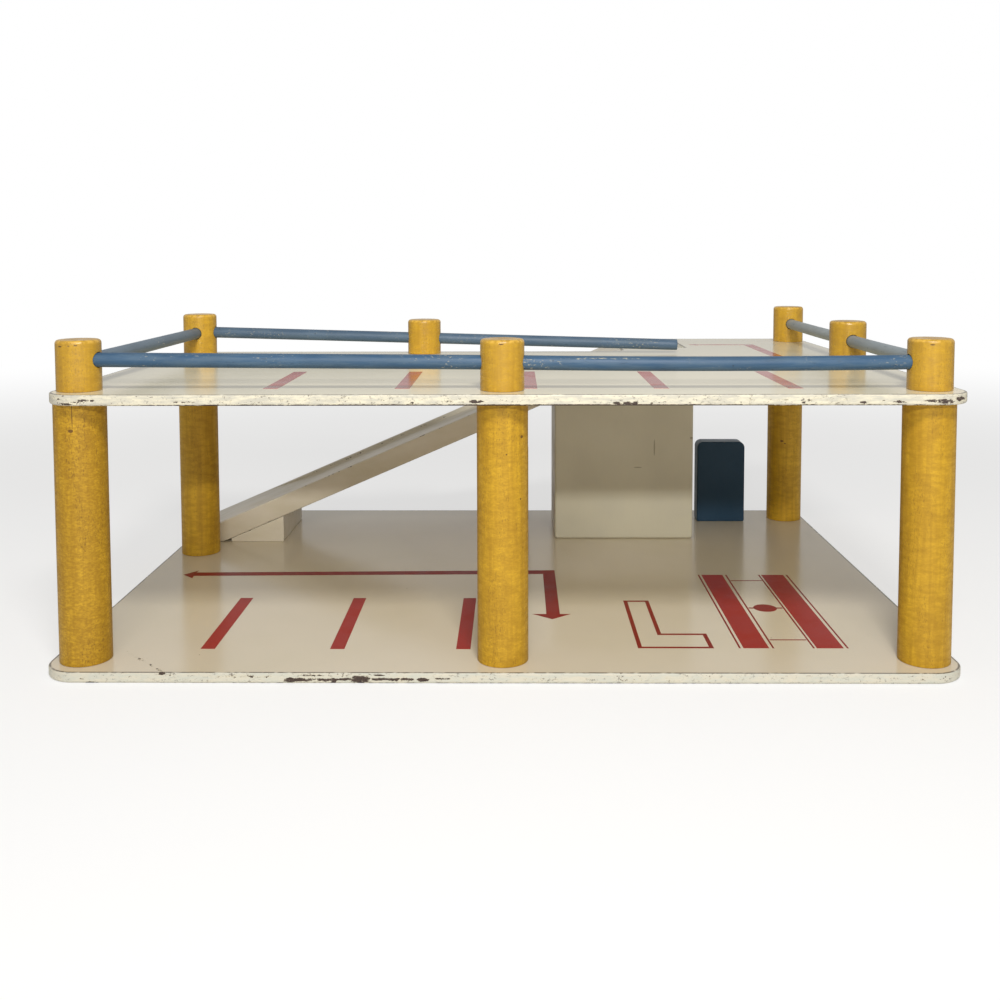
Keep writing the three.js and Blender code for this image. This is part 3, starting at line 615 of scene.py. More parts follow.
def rod_arrays(start, end, radius, sag=0.0, spacing=0.006, end_round=0.0004, segments=48):
    """Points, face arrays and values of a dowel, its middle lowered by sag times a parabola.

    The circle is carried along the path in two fixed directions square to the chord, and its radius
    shrinks in a quarter round at both ends. The values are the way along in metres and the cosine and
    sine round it, which have no seam."""
    chord = end - start
    length = float(np.linalg.norm(chord))
    way = chord / length
    side = np.cross(way, [0, 0, 1])
    side /= np.linalg.norm(side)
    rise = np.cross(side, way)
    turn = np.radians([0, 30, 60])
    lead = end_round * (1 - np.cos(turn))
    middle = np.linspace(end_round, length - end_round, max(int(length / spacing), 2))
    run = np.concatenate([lead, middle, length - lead[::-1]])
    thin = end_round * (1 - np.sin(turn))
    fat = radius - np.concatenate([thin, 0 * middle, thin[::-1]])
    share = run / length
    line = start + way * run[:, None] - np.array([0, 0, 1]) * (sag * 4 * share * (1 - share))[:, None]
    turn = np.linspace(0, 2 * np.pi, segments, endpoint=False)
    ring = np.cos(turn)[:, None] * side + np.sin(turn)[:, None] * rise
    grid = (line[:, None] + fat[:, None, None] * ring[None]).reshape(-1, 3)
    rows = len(run)
    points = np.concatenate([grid, [line[0], line[-1]]])
    values = {"along": np.concatenate([np.repeat(run, segments), [0, length]]),
              "side_x": np.concatenate([np.tile(np.cos(turn), rows), [0, 0]]),
              "side_y": np.concatenate([np.tile(np.sin(turn), rows), [0, 0]])}
    return points, [block[:, ::-1] for block in tube_faces(rows, segments)], values


def facing_out(piece):
    """Turns a closed mesh's faces outward if its signed volume is negative."""
    mesh = piece.data
    mesh.calc_loop_triangles()
    corners = np.empty(len(mesh.loop_triangles) * 3, np.int32)
    mesh.loop_triangles.foreach_get("vertices", corners)
    points = np.empty(len(mesh.vertices) * 3)
    mesh.vertices.foreach_get("co", points)
    p = points.reshape(-1, 3)[corners.reshape(-1, 3)]
    if np.einsum("ij,ij->i", p[:, 0], np.cross(p[:, 1], p[:, 2])).sum() < 0:
        mesh.flip_normals()
    return piece


def carve(piece, cutters, sharp=35):
    """Cuts closed cutters out of a piece for good, and keeps its corners crisp."""
    for cutter in cutters:
        modifier = piece.modifiers.new("hole", "BOOLEAN")
        modifier.operation = "DIFFERENCE"
        modifier.solver = "EXACT"
        modifier.object = facing_out(cutter)
    bpy.context.view_layer.update()
    depsgraph = bpy.context.evaluated_depsgraph_get()
    result = bpy.data.meshes.new_from_object(piece.evaluated_get(depsgraph))
    piece.modifiers.clear()
    old = piece.data
    piece.data = result
    bpy.data.meshes.remove(old)
    result.set_sharp_from_angle(angle=math.radians(sharp))
    for cutter in cutters:
        mesh = cutter.data
        bpy.data.objects.remove(cutter)
        bpy.data.meshes.remove(mesh)
    return piece


def finish_piece(piece, material, nodes=(), body=BODY):
    """Gives a piece its material and its body, and hides the CAD nodes it stands for."""
    piece.data.materials.clear()
    piece.data.materials.append(material)
    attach(piece, body)
    if nodes:
        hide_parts(*nodes)


def add(tree, kind, settings=None):
    """Adds a shader node with its settings: its own fields, and its inputs, each set or linked."""
    node = tree.nodes.new(f"ShaderNode{kind}")
    for key, value in (settings or {}).items():
        if isinstance(key, str) and hasattr(node, key) and key not in node.inputs:
            setattr(node, key, value)
        else:
            fill(tree, node.inputs[key], value)
    return node


def fill(tree, socket, source):
    """Links an input to an output, or to a node's first output in use, or sets it to a plain value."""
    if isinstance(source, bpy.types.Node):
        source = next(output for output in source.outputs if output.enabled)
    if isinstance(source, bpy.types.NodeSocket):
        tree.links.new(source, socket)
    else:
        socket.default_value = source


def new_material(name):
    """An empty node material with its Principled shader and output."""
    material = bpy.data.materials.new(name)
    material.use_nodes = True
    tree = material.node_tree
    tree.nodes.clear()
    shader = add(tree, "BsdfPrincipled")
    add(tree, "OutputMaterial", {"Surface": shader})
    return material, tree, shader


def rgba(value):
    """A colour property with full alpha."""
    return (*value, 1.0)


def limits(tree, source, low, high, smooth="EASE"):
    """Where a value passes two limits: 0 under one, 1 over the other, and eased or straight between."""
    ramp = add(tree, "ValToRGB", {"Fac": source})
    ramp.color_ramp.interpolation = smooth
    ramp.color_ramp.elements[0].position = low
    ramp.color_ramp.elements[1].position = high
    return ramp


def overlay(tree, mask, under, over, share=1.0):
    """Lays a share of one colour over another where a mask is; each colour is plain or an output."""
    if share != 1.0:
        mask = add(tree, "Math", {"operation": "MULTIPLY", 0: mask, 1: share})
    return add(tree, "Mix", {"data_type": "RGBA", 0: mask, 6: under, 7: over})


def product(tree, *masks):
    """The product of several masks."""
    result = masks[0]
    for mask in masks[1:]:
        result = add(tree, "Math", {"operation": "MULTIPLY", 0: result, 1: mask})
    return result


def sum_of(tree, first, *terms):
    """A value plus each term's output times its number."""
    for source, number in terms:
        part = add(tree, "Math", {"operation": "MULTIPLY", 0: source, 1: number})
        first = add(tree, "Math", {"operation": "ADD", 0: first, 1: part})
    return first


def noise(tree, vector, period_mm, detail=2.0, rough=0.5, stretch=(1, 1, 1), distortion=0.0):
    """Noise whose blobs are about period_mm wide, stretched by a factor per axis."""
    place = add(tree, "Mapping", {"Scale": [1 / s for s in stretch], "Vector": vector})
    return add(tree, "TexNoise", {"Scale": 1 / (period_mm * MM), "Detail": detail, "Roughness": rough,
                                  "Distortion": distortion, "Vector": place})


def blobs(tree, where, period_mm, low, high, smooth="EASE", **options):
    """Blobs about period_mm wide, where noise passes two limits."""
    return limits(tree, noise(tree, where, period_mm, **options), low, high, smooth)


def dots(tree, vector, spacing_mm, radius_share):
    """Small round dots, one in each cell about every spacing_mm, as wide as a share of the spacing."""
    cells = add(tree, "TexVoronoi", {"Scale": 1 / (spacing_mm * MM), "Vector": vector})
    outside = limits(tree, cells.outputs["Distance"], radius_share * 0.6, radius_share)
    return sum_of(tree, 1.0, (outside, -1.0))


def on_piece(tree, name, kind="Fac"):
    """What put_mesh stored on the piece's points under a name."""
    return add(tree, "Attribute", {"attribute_name": name}).outputs[kind]


def spots(tree, node):
    """How worn a piece is at its worn places: a place's depth, fading from 0.7 to 1.3 half sizes out."""
    where = add(tree, "TexCoord").outputs["Object"]
    total = 0.0
    for x, y, z, a, b, c, depth in WEAR_AND_PAINTED_LIGHT.get(node, ()):
        away = where
        for operation, value in (("SUBTRACT", (x, y, z)), ("DIVIDE", (2 * a, 2 * b, 2 * c))):
            away = add(tree, "VectorMath", {"operation": operation, 0: away, 1: Vector(value) * MM})
        away = add(tree, "VectorMath", {"operation": "LENGTH", 0: away})
        inside = sum_of(tree, depth, (limits(tree, away, 0.35, 0.65), -depth))
        total = add(tree, "Math", {"operation": "MAXIMUM", 0: total, 1: inside})
    return total


def coat(tree, shader, paint, roughness, height=None, strength=0.3, depth_mm=0.3, shine=0.5):
    """Gives a shader its colour, roughness and shine, and the height pattern that raises its normal."""
    fill(tree, shader.inputs["Base Color"], paint)
    fill(tree, shader.inputs["Roughness"], roughness)
    shader.inputs["Specular IOR Level"].default_value = shine
    if height is not None:
        bump = {"Strength": strength, "Distance": depth_mm * MM, "Height": height}
        fill(tree, shader.inputs["Normal"], add(tree, "Bump", bump))


def chipped(tree, where, wear, stretch=(1.8, 1.8, 1)):
    """Where paint is chipped off, by wear with fine and coarse noise, and a ring of grime round it."""
    ragged = noise(tree, where, 1.2, 5, 0.75, stretch)
    coarse = noise(tree, where, 4, 2, 0.6, stretch)
    # The first number takes off what both noises come to at their mean, a half.
    depth = sum_of(tree, -1.25, (wear, 1.0), (ragged, 1.7), (coarse, 0.8))
    return limits(tree, depth, 0.50, 0.54, "LINEAR"), limits(tree, depth, 0.30, 0.52)


def board_enamel(name, face_colour, edge_and_shade_colour, settings, shine):
    """Cream gloss enamel sprayed on hardboard, its edges brushed and greyed with painted shade, chipped
    to the brown board.

    The faces are smooth and mirror at low angles, a fine line of dirt follows the rim, and the edges
    are dull and pitted."""
    material, tree, shader = new_material(name)
    where = add(tree, "TexCoord").outputs["Object"]
    rim = on_piece(tree, "rim")
    cloud = blobs(tree, where, 110, 0.35, 0.75, detail=3)
    face = overlay(tree, cloud, rgba(face_colour), rgba(settings.aged), 0.35)
    brushed = blobs(tree, where, 2.0, 0.35, 0.65, detail=4, rough=0.7, stretch=(5, 5, 1))
    # The edges' paint holds painted shade and is greyer than the face.
    edge = overlay(tree, brushed, rgba(edge_and_shade_colour), rgba(face_colour), 0.5)
    paint = overlay(tree, rim, face, edge)
    dirt = blobs(tree, where, 5, 0.26, 0.5, detail=3)
    dirt = product(tree, on_piece(tree, "line"), dirt)
    paint = overlay(tree, dirt, paint, rgba(settings.line_paint), 0.9)
    pitted = blobs(tree, where, 16, 0.36, 0.56, detail=3)
    specks = blobs(tree, where, 1.1, 0.585, 0.63, "LINEAR", detail=4, rough=0.75, stretch=(1.7, 1.7, 1))
    specks = product(tree, specks, pitted, rim)
    paint = overlay(tree, specks, paint, rgba(settings.core), 0.85)
    paint = overlay(tree, dots(tree, where, 31, 0.016), paint, rgba(settings.core), 0.8)
    # The wear value also holds painted shade along the boards' lower edges, which are chipped there to
    # the dark core.
    chip, grime = chipped(tree, where, on_piece(tree, "wear"))
    paint = overlay(tree, grime, paint, rgba(settings.aged), 0.35)
    core = blobs(tree, where, 0.9, 0.35, 0.7, detail=3)
    core = overlay(tree, core, rgba(settings.core), DEEP_CORE)
    paint = overlay(tree, chip, paint, core)
    roughness = sum_of(tree, 0.14, (noise(tree, where, 30, 3), 0.07), (rim, 0.26), (chip, 0.35))
    pits = product(tree, noise(tree, where, 1.1, 2), sum_of(tree, 0.03, (rim, 0.9)))
    height = sum_of(tree, pits, (chip, -1.2), (specks, -0.6))
    coat(tree, shader, paint, roughness, height, strength=0.35, depth_mm=0.35, shine=shine)
    return material


def stained_wood(node, light, dark, pore, seed, stain_and_painted_light, figure, roughness, shine):
    """Yellow stained, varnished beech: mottled across, with fine flecks, faint grain and a few pores.

    The stain is lightened or darkened per piece as painted light and shade. The figure says how strong
    the flecks and the pores are. The upper arris is painted paler, partly as rubbed wear and partly as a
    painted highlight."""
    material, tree, shader = new_material(f"{node}_stained_beech")
    where = add(tree, "Mapping", {"Location": (seed * 0.31, seed * 0.17, seed * 0.05),
                                  "Vector": add(tree, "TexCoord").outputs["Object"]})
    grain = blobs(tree, where, 2.6, 0.35, 0.7, detail=3, rough=0.55, stretch=(1, 1, 18), distortion=0.4)
    mottle = blobs(tree, where, 5, 0.36, 0.68, detail=3, rough=0.6, stretch=(1.5, 1.5, 0.55))
    cloud = blobs(tree, where, 26, 0.35, 0.7, detail=2)
    flecks = blobs(tree, where, 0.9, 0.32, 0.66, detail=2, rough=0.5, stretch=(2, 2, 1))
    # The stain is lightened or darkened here as painted light and shade.
    lit = tuple(c * stain_and_painted_light for c in light)
    shade = tuple(c * stain_and_painted_light for c in dark)
    wood = overlay(tree, grain, rgba(lit), rgba(shade), 0.4)
    wood = overlay(tree, mottle, wood, rgba(shade), 0.4)
    wood = overlay(tree, cloud, wood, rgba(shade), 0.25)
    wood = overlay(tree, flecks, wood, rgba(shade), 0.8 * figure)
    banded = blobs(tree, where, 8, 0.44, 0.58, detail=2, rough=0.5, stretch=(1, 1, 6))
    pores = blobs(tree, where, 0.6, 0.56, 0.64, detail=2, rough=0.6, stretch=(1, 1, 3))
    pores = product(tree, pores, banded)
    wood = overlay(tree, pores, wood, rgba(pore), 0.2 + 0.4 * figure)
    # Painted highlight: the upper arris is painted paler, partly as rubbed wear and partly as a highlight
    # on the rounded top.
    rubbed = blobs(tree, where, 2.4, 0.4, 0.6, detail=3)
    rubbed = product(tree, on_piece(tree, "arris"), rubbed)
    wood = overlay(tree, rubbed, wood, rgba([min(1.25 * c + 0.04, 1) for c in lit]), 0.6)
    nick = limits(tree, sum_of(tree, spots(tree, node), (noise(tree, where, 0.8, 3), 0.35)), 0.5, 0.75)
    wood = overlay(tree, nick, wood, rgba(pore), 0.9)
    height = sum_of(tree, 0.0, (flecks, 0.3), (grain, 0.2), (pores, -0.6), (nick, -2.0))
    coat(tree, shader, wood, sum_of(tree, roughness, (mottle, 0.12)), height, depth_mm=0.2, shine=shine)
    return material


def rail_enamel(settings):
    """Blue enamel on dowel, rubbed paler along it, greyed partly by chalky paint and partly by a painted
    sheen, with flecks of bare wood and fine dirt lines.
    """
    material, tree, shader = new_material("rail_blue_enamel_on_dowel")
    radius = settings.diameter / 2
    aside = product(tree, on_piece(tree, "side_x"), radius)
    upward = product(tree, on_piece(tree, "side_y"), radius)
    place = add(tree, "CombineXYZ", {"X": on_piece(tree, "along"), "Y": aside, "Z": upward})
    offset = on_piece(tree, "offset", "Vector")
    where = add(tree, "VectorMath", {"operation": "ADD", 0: place, 1: offset})
    streak = blobs(tree, where, 2.6, 0.38, 0.68, detail=4, rough=0.6, stretch=(9, 1, 1))
    paint = overlay(tree, streak, rgba(settings.paint), rgba(settings.worn), 0.5)
    # Chalky grey and painted sheen, stronger on the side and rear rails.
    paint = overlay(tree, on_piece(tree, "chalk"), paint, rgba(settings.chalk), 0.9)
    shaded = blobs(tree, where, 30, 0.4, 0.65, detail=2)
    paint = overlay(tree, shaded, paint, rgba(settings.dirt), 0.16)
    patch = blobs(tree, where, 16, 0.5, 0.66, detail=3, stretch=(1.6, 1, 1))
    fleck = blobs(tree, where, 0.9, 0.6, 0.66, "LINEAR", detail=3, rough=0.7, stretch=(2.6, 1, 1))
    fleck = product(tree, fleck, patch)
    # The wear value also holds the front rails' painted highlight, which shows as pale flecks.
    wear = sum_of(tree, on_piece(tree, "wear"), (noise(tree, where, 1.3, 4, 0.7, (2, 1, 1)), 0.5))
    worn_off = limits(tree, wear, 0.78, 0.84, "LINEAR")
    fleck = add(tree, "Math", {"operation": "MAXIMUM", 0: fleck, 1: worn_off})
    paint = overlay(tree, fleck, paint, rgba(settings.bare), 0.6)
    dirt = blobs(tree, where, 1.2, 0.62, 0.74, detail=3, rough=0.6, stretch=(6, 1, 1))
    paint = overlay(tree, dirt, paint, rgba(settings.dirt), 0.5)
    paint = overlay(tree, dots(tree, where, 9, 0.07), paint, rgba(settings.dirt), 0.7)
    roughness = sum_of(tree, 0.42, (streak, 0.16))
    height = sum_of(tree, 0.0, (streak, 0.5), (fleck, -1.0), (dirt, -0.5))
    coat(tree, shader, paint, roughness, height, strength=0.4, depth_mm=0.15, shine=0.35)
    return material


def marking_enamel(name, paint_colour, settings, board, roughness, shine):
    """Red enamel printed on the boards: even, glossy, rubbed through to the cream in tiny spots."""
    material, tree, shader = new_material(name)
    where = add(tree, "TexCoord").outputs["Object"]
    cloud = blobs(tree, where, 18, 0.4, 0.75, detail=3)
    paint = overlay(tree, cloud, rgba(paint_colour), rgba(settings.faded), 0.3)
    rubbed = blobs(tree, where, 1.2, 0.69, 0.73, "LINEAR", detail=4, rough=0.7)
    paint = overlay(tree, rubbed, paint, rgba(board.base_paint), 0.5)
    coat(tree, shader, paint, sum_of(tree, roughness, (cloud, 0.1)), shine=shine)
    return material


def block_enamel(name, paint_colour, worn_colour, bare_colour, roughness, chips, node=None, shine=0.5):
    """Brush enamel on a wooden block: faint brush marks, rubbed arrises, a few scratches and specks."""
    material, tree, shader = new_material(name)
    where = add(tree, "TexCoord").outputs["Object"]
    cloud = blobs(tree, where, 35, 0.35, 0.7, detail=3)
    paint = overlay(tree, cloud, rgba(paint_colour), rgba(worn_colour), 0.22)
    strokes = noise(tree, where, 0.9, 2, stretch=(1, 1, 14))
    paint = overlay(tree, limits(tree, strokes, 0.4, 0.65), paint, rgba(worn_colour), 0.04)
    rubbed = product(tree, on_piece(tree, "arris"), noise(tree, where, 2.2, 4, 0.7))
    rubbed = limits(tree, rubbed, 0.46, 0.6)
    paint = overlay(tree, rubbed, paint, rgba(worn_colour), 0.8 * chips)
    bare = product(tree, on_piece(tree, "arris"), noise(tree, where, 1.6, 4, 0.75))
    bare = limits(tree, bare, 0.6, 0.66)
    paint = overlay(tree, bare, paint, rgba(bare_colour), 0.9 * chips)
    scratch = sum_of(tree, spots(tree, node), (noise(tree, where, 1.2, 3), 0.4))
    scratch = limits(tree, scratch, 0.62, 0.86)
    paint = overlay(tree, scratch, paint, rgba([c * 0.5 for c in bare_colour]), 0.7)
    paint = overlay(tree, dots(tree, where, 24, 0.018), paint, rgba(bare_colour), 0.7)
    roughness = sum_of(tree, roughness, (cloud, 0.12), (scratch, 0.2))
    height = sum_of(tree, 0.0, (strokes, 0.3), (scratch, -1.5), (bare, -1.0))
    coat(tree, shader, paint, roughness, height, strength=0.15, depth_mm=0.15, shine=shine)
    return material


def ramp_enamel(settings, board):
    """Cream enamel on a planed plank: dull with dusty patches, whiter and chipped at the edges."""
    material, tree, shader = new_material("ramp_enamel_on_plank")
    where = add(tree, "TexCoord").outputs["Object"]
    arris = on_piece(tree, "arris")
    grain = blobs(tree, where, 2, 0.3, 0.7, detail=3, stretch=(12, 1, 5))
    paint = overlay(tree, grain, rgba(settings.paint), rgba(board.aged), 0.18)
    dusty = blobs(tree, where, 14, 0.4, 0.75, detail=4, rough=0.6, stretch=(3, 1, 1))
    paint = overlay(tree, dusty, paint, rgba(board.aged), 0.3)
    paint = overlay(tree, arris, paint, rgba(settings.edge), 0.6)
    ragged = sum_of(tree, noise(tree, where, 2.6, 4, 0.75, (2.5, 1, 1)), (arris, 0.4))
    chip = limits(tree, ragged, 0.95, 1.0, "LINEAR")
    paint = overlay(tree, chip, paint, rgba(board.core))
    height = sum_of(tree, 0.0, (grain, 0.3), (chip, -1.0))
    coat(tree, shader, paint, sum_of(tree, 0.34, (dusty, 0.15)), height)
    return material


def bare_wood(name, base_colour):
    """Planed beech without finish: soft long grain and fine pores, quite dull."""
    material, tree, shader = new_material(name)
    where = add(tree, "TexCoord").outputs["Object"]
    grain = blobs(tree, where, 1.2, 0.3, 0.7, detail=4, rough=0.6, stretch=(1, 1, 12))
    paint = overlay(tree, grain, rgba(base_colour), rgba([c * 0.72 for c in base_colour]))
    pores = blobs(tree, where, 0.6, 0.66, 0.74, detail=2, rough=0.6, stretch=(1, 1, 7))
    paint = overlay(tree, pores, paint, rgba([c * 0.4 for c in base_colour]), 0.6)
    coat(tree, shader, paint, 0.7, sum_of(tree, grain, (pores, -1.0)), strength=0.25, depth_mm=0.1)
    return material


def dull_zinc(base_colour):
    """Zinc plated steel gone dull: grey with darker blotches and a fine rough texture."""
    material, tree, shader = new_material("screw_dull_zinc")
    where = add(tree, "TexCoord").outputs["Object"]
    blotch = blobs(tree, where, 1.5, 0.4, 0.7, detail=4, rough=0.65)
    paint = overlay(tree, blotch, rgba(base_colour), rgba([c * 0.5 for c in base_colour]), 0.7)
    shader.inputs["Metallic"].default_value = 1.0
    roughness = sum_of(tree, 0.35, (blotch, 0.3))
    coat(tree, shader, paint, roughness, noise(tree, where, 0.5, 3), strength=0.2, depth_mm=0.05)
    return material


def build_base(settings, shaft):
    """Builds the base board, with recesses for the screws in its underside."""
    low, high = cad_box("base_board")
    corners = rectangle(low[0], low[1], high[0], high[1], settings.corner)
    outline = round_outline(corners, settings.step, corner_steps=24)
    piece = slab("base_board_painted", [outline], high[2] - low[2], settings.top_round,
                 settings.foot_round, lying(low[2]), "base_board", line=settings.line, wall=7)
    radius = shaft.screw + shaft.fit
    recess = [(0, -MM), (radius, -MM), (radius, 0), (MM, shaft.screw_depth)]
    cutters = [turned_arrays(recess, [x, y, low[2]], segments=32)[:2] for x, y in screw_places()]
    carve(piece, [put_mesh("recess_cutter", *joined(cutters))])
    material = board_enamel("base_gloss_enamel_on_hardboard", settings.base_paint, settings.base_edge_and_shade,
                            settings, shine=0.45)
    finish_piece(piece, material, ["base_board"])


def build_deck(settings, shaft):
    """Builds the deck board: an L round the ramp, with the lift's opening and the pins' holes."""
    low, high = cad_box("deck_board")
    notch_x = cad_box("ramp")[1][0] + shaft.fit
    notch_y = cad_box("post_rear_left")[1][1]
    corners = [(low[0], low[1], settings.corner), (high[0], low[1], settings.corner),
               (high[0], high[1], settings.corner), (notch_x, high[1], settings.notch_end),
               (notch_x, notch_y, settings.notch_corner), (low[0], notch_y, settings.rear_corner)]
    wall_low, wall_high = cad_box("shaft_partition")
    right_low, right_high = cad_box("shaft_right_wall_rear")
    opening = rectangle(wall_high[0], wall_low[1], right_low[0], right_high[1],
                        settings.opening_corner)
    loops = [round_outline(corners, settings.step, corner_steps=24),
             round_outline(opening, 3 * MM, corner_steps=3)[::-1]]
    for name in CAPS:
        pin_low, pin_high = cad_box(f"pin_{name}")
        radius = (pin_high[0] - pin_low[0]) / 2 + shaft.fit / 2
        loops.append(arc(radius, 24, 360, 0)[:-1] + (pin_low[:2] + pin_high[:2]) / 2)
    piece = slab("deck_board_painted", loops, high[2] - low[2], settings.top_round,
                 settings.deck_foot_round, lying(low[2]), "deck_board", line=settings.line, wall=5)
    material = board_enamel("deck_gloss_enamel_on_hardboard", settings.deck_paint, settings.deck_edge_and_shade,
                            settings, shine=0.6)
    finish_piece(piece, material, ["deck_board"])


class GARAGE_OT_boards(bpy.types.Operator):
    """Builds the base board and the deck board."""
    bl_idname = "garage.boards"
    bl_label = "Boards"

    def execute(self, context):
        settings = context.scene.garage_boards
        shaft = context.scene.garage_shaft
        build_base(settings, shaft)
        build_deck(settings, shaft)
        return {"FINISHED"}


def middle_of(node):
    """The middle of a CAD node's box in plan."""
    low, high = cad_box(node)
    return (low[:2] + high[:2]) / 2


def screw_places():
    """Places of the screws under the base: one in each post and pump block, and two in the wedge and
    in the shaft's front, a fifth of the way from both ends."""
    places = [middle_of(f"post_{name}") for name in POSTS]
    places += [middle_of("pump_red"), middle_of("pump_blue")]
    for node in ("ramp_wedge", "shaft_front_wall"):
        low, high = cad_box(node)
        along = 1 if node == "ramp_wedge" else 0
        for share in (0.2, 0.8):
            place = middle_of(node)
            place[along] = low[along] + (high[along] - low[along]) * share
            places.append(place)
    return places


class GARAGE_OT_screws(bpy.types.Operator):
    """Builds the slotted countersunk screw heads in the base board's underside."""
    bl_idname = "garage.screws"
    bl_label = "Screws"

    def execute(self, context):
        settings = context.scene.garage_shaft
        edge = settings.screw_sink
        foot = cad_box("base_board")[0][2] + edge
        profile = [(settings.screw / 2, 0), (settings.screw - edge, 0), (settings.screw, edge),
                   (MM, settings.screw_depth)]
        heads = [turned_arrays(profile, [x, y, foot], segments=32)[:2] for x, y in screw_places()]
        slots = []
        for number, (x, y) in enumerate(screw_places()):
            turn = number * settings.screw_turn
            long = np.array([math.cos(turn), math.sin(turn)]) * settings.screw * 1.2
            wide = np.array([-math.sin(turn), math.cos(turn)]) * settings.screw_slot / 2
            loop = np.array([x, y]) + np.array([-long - wide, long - wide, long + wide, -long + wide])
            points, blocks, _ = slab_arrays([loop], settings.screw_depth / 2, 0, 0)
            slots.append((lying(foot - settings.screw_depth / 4)(points), blocks))
        piece = put_mesh("screw_heads", *joined(heads))
        carve(piece, [put_mesh("slot_cutter", *joined(slots))])
        finish_piece(piece, dull_zinc(settings.zinc))
        return {"FINISHED"}


class GARAGE_OT_posts(bpy.types.Operator):
    """Builds the round posts between the boards."""
    bl_idname = "garage.posts"
    bl_label = "Posts"

    def execute(self, context):
        settings = context.scene.garage_wood
        for seed, name in enumerate(POSTS):
            node = f"post_{name}"
            low, high = cad_box(node)
            profile = stick_profile((high[0] - low[0]) / 2, high[2] - low[2], settings.foot_round,
                                    settings.foot_round, settings.spacing)
            centre = [*middle_of(node), low[2]]
            piece = turned(f"{node}_turned", profile, centre, waver=settings.post_waver, seed=seed)
            # Each post's stain is lightened or darkened as painted light and shade.
            stain_and_painted_light, figure = POST_STAIN_LIGHT_AND_FIGURE[name]
            material = stained_wood(node, settings.post, settings.post_dark, settings.pore, seed, stain_and_painted_light,
                                    figure, roughness=0.42, shine=0.3)
            finish_piece(piece, material, [node])
        return {"FINISHED"}


def rail_ends(name, radius):
    """A rail's two end points: its CAD box's ends, drifting by what the box spares round the dowel."""
    way, aside, upward, _, _ = RAILS[name]
    low, high = cad_box(f"rail_{name}")
    spare = np.maximum((high - low) / 2 - radius, 0)
    along, across = (0, 1) if way == "X" else (1, 0)
    half = np.zeros(3)
    half[along] = (high[along] - low[along]) / 2
    half[across] = spare[across] * aside
    half[2] = spare[2] * upward
    middle = (low + high) / 2
    return middle - half, middle + half


class GARAGE_OT_rails(bpy.types.Operator):
    """Builds the blue dowel rails."""
    bl_idname = "garage.rails"
    bl_label = "Rails"

    def execute(self, context):
        settings = context.scene.garage_rails
        material = rail_enamel(settings)
        for number, (name, (_, _, _, sag, chalk)) in enumerate(RAILS.items()):
            radius = settings.diameter / 2
            start, end = rail_ends(name, radius)
            points, blocks, values = rod_arrays(start, end, radius, sag * MM, settings.spacing)
            values["wear"] = worn(f"rail_{name}", points)
            values["chalk"] = np.full(len(points), chalk)
            piece = put_mesh(f"rail_{name}_painted", points, blocks, values)
            layer = piece.data.attributes.new("offset", "FLOAT_VECTOR", "POINT")
            offset = np.array(RAIL_OFFSET) * (number + 1)
            layer.data.foreach_set("vector", np.tile(offset, len(points)).astype(np.float32))
            finish_piece(piece, material, [f"rail_{name}"])
        return {"FINISHED"}


class GARAGE_OT_caps(bpy.types.Operator):
    """Builds the caps on the deck, with the holes that the rails go into."""
    bl_idname = "garage.caps"
    bl_label = "Caps"

    def execute(self, context):
        settings = context.scene.garage_wood
        radius = context.scene.garage_rails.diameter / 2
        gap = settings.hole_gap
        for seed, name in enumerate(CAPS):
            node = f"cap_{name}"
            low, high = cad_box(node)
            centre = middle_of(node)
            profile = stick_profile((high[0] - low[0]) / 2, high[2] - low[2], settings.foot_round,
                                    settings.cap_round, settings.spacing)
            piece = turned(f"{node}_turned", profile, [*centre, low[2]], waver=settings.cap_waver,
                           seed=seed + CAP_SEED)
            cutters = []
            for rail in RAILS:
                start, end = rail_ends(rail, radius)
                way = (end - start) / np.linalg.norm(end - start)
                reach = (centre - start[:2]) @ way[:2]
                aside = np.linalg.norm(centre - start[:2] - reach * way[:2])
                spare = (high[0] - low[0]) / 2
                if aside < spare / 2 and -spare < reach < np.linalg.norm(end - start) + spare:
                    hole = rod_arrays(start - way * gap, end + way * gap, radius + gap)
                    cutters.append(put_mesh("hole_cutter", *hole[:2]))
            carve(piece, cutters)
            # The rear caps' stain is lightened and the others' darkened as painted light and shade.
            stain_and_painted_light = REAR_CAP_PAINTED_LIGHT if name.startswith("rear") else OTHER_CAP_PAINTED_SHADE
            material = stained_wood(node, settings.cap, settings.cap_dark, settings.pore, seed + CAP_SEED,
                                    stain_and_painted_light, CAP_FIGURE, roughness=0.26, shine=0.5)
            finish_piece(piece, material, [node])
        return {"FINISHED"}


def ramp_line(settings):
    """The ramp's slope, its upper line's height as a function of X, and its thickness straight down."""
    low, high = cad_box("ramp")
    slope = (high[2] - low[2] - settings.nose) / (high[0] - low[0])
    return slope, lambda x: high[2] - (high[0] - x) * slope, settings.thickness * math.hypot(1, slope)


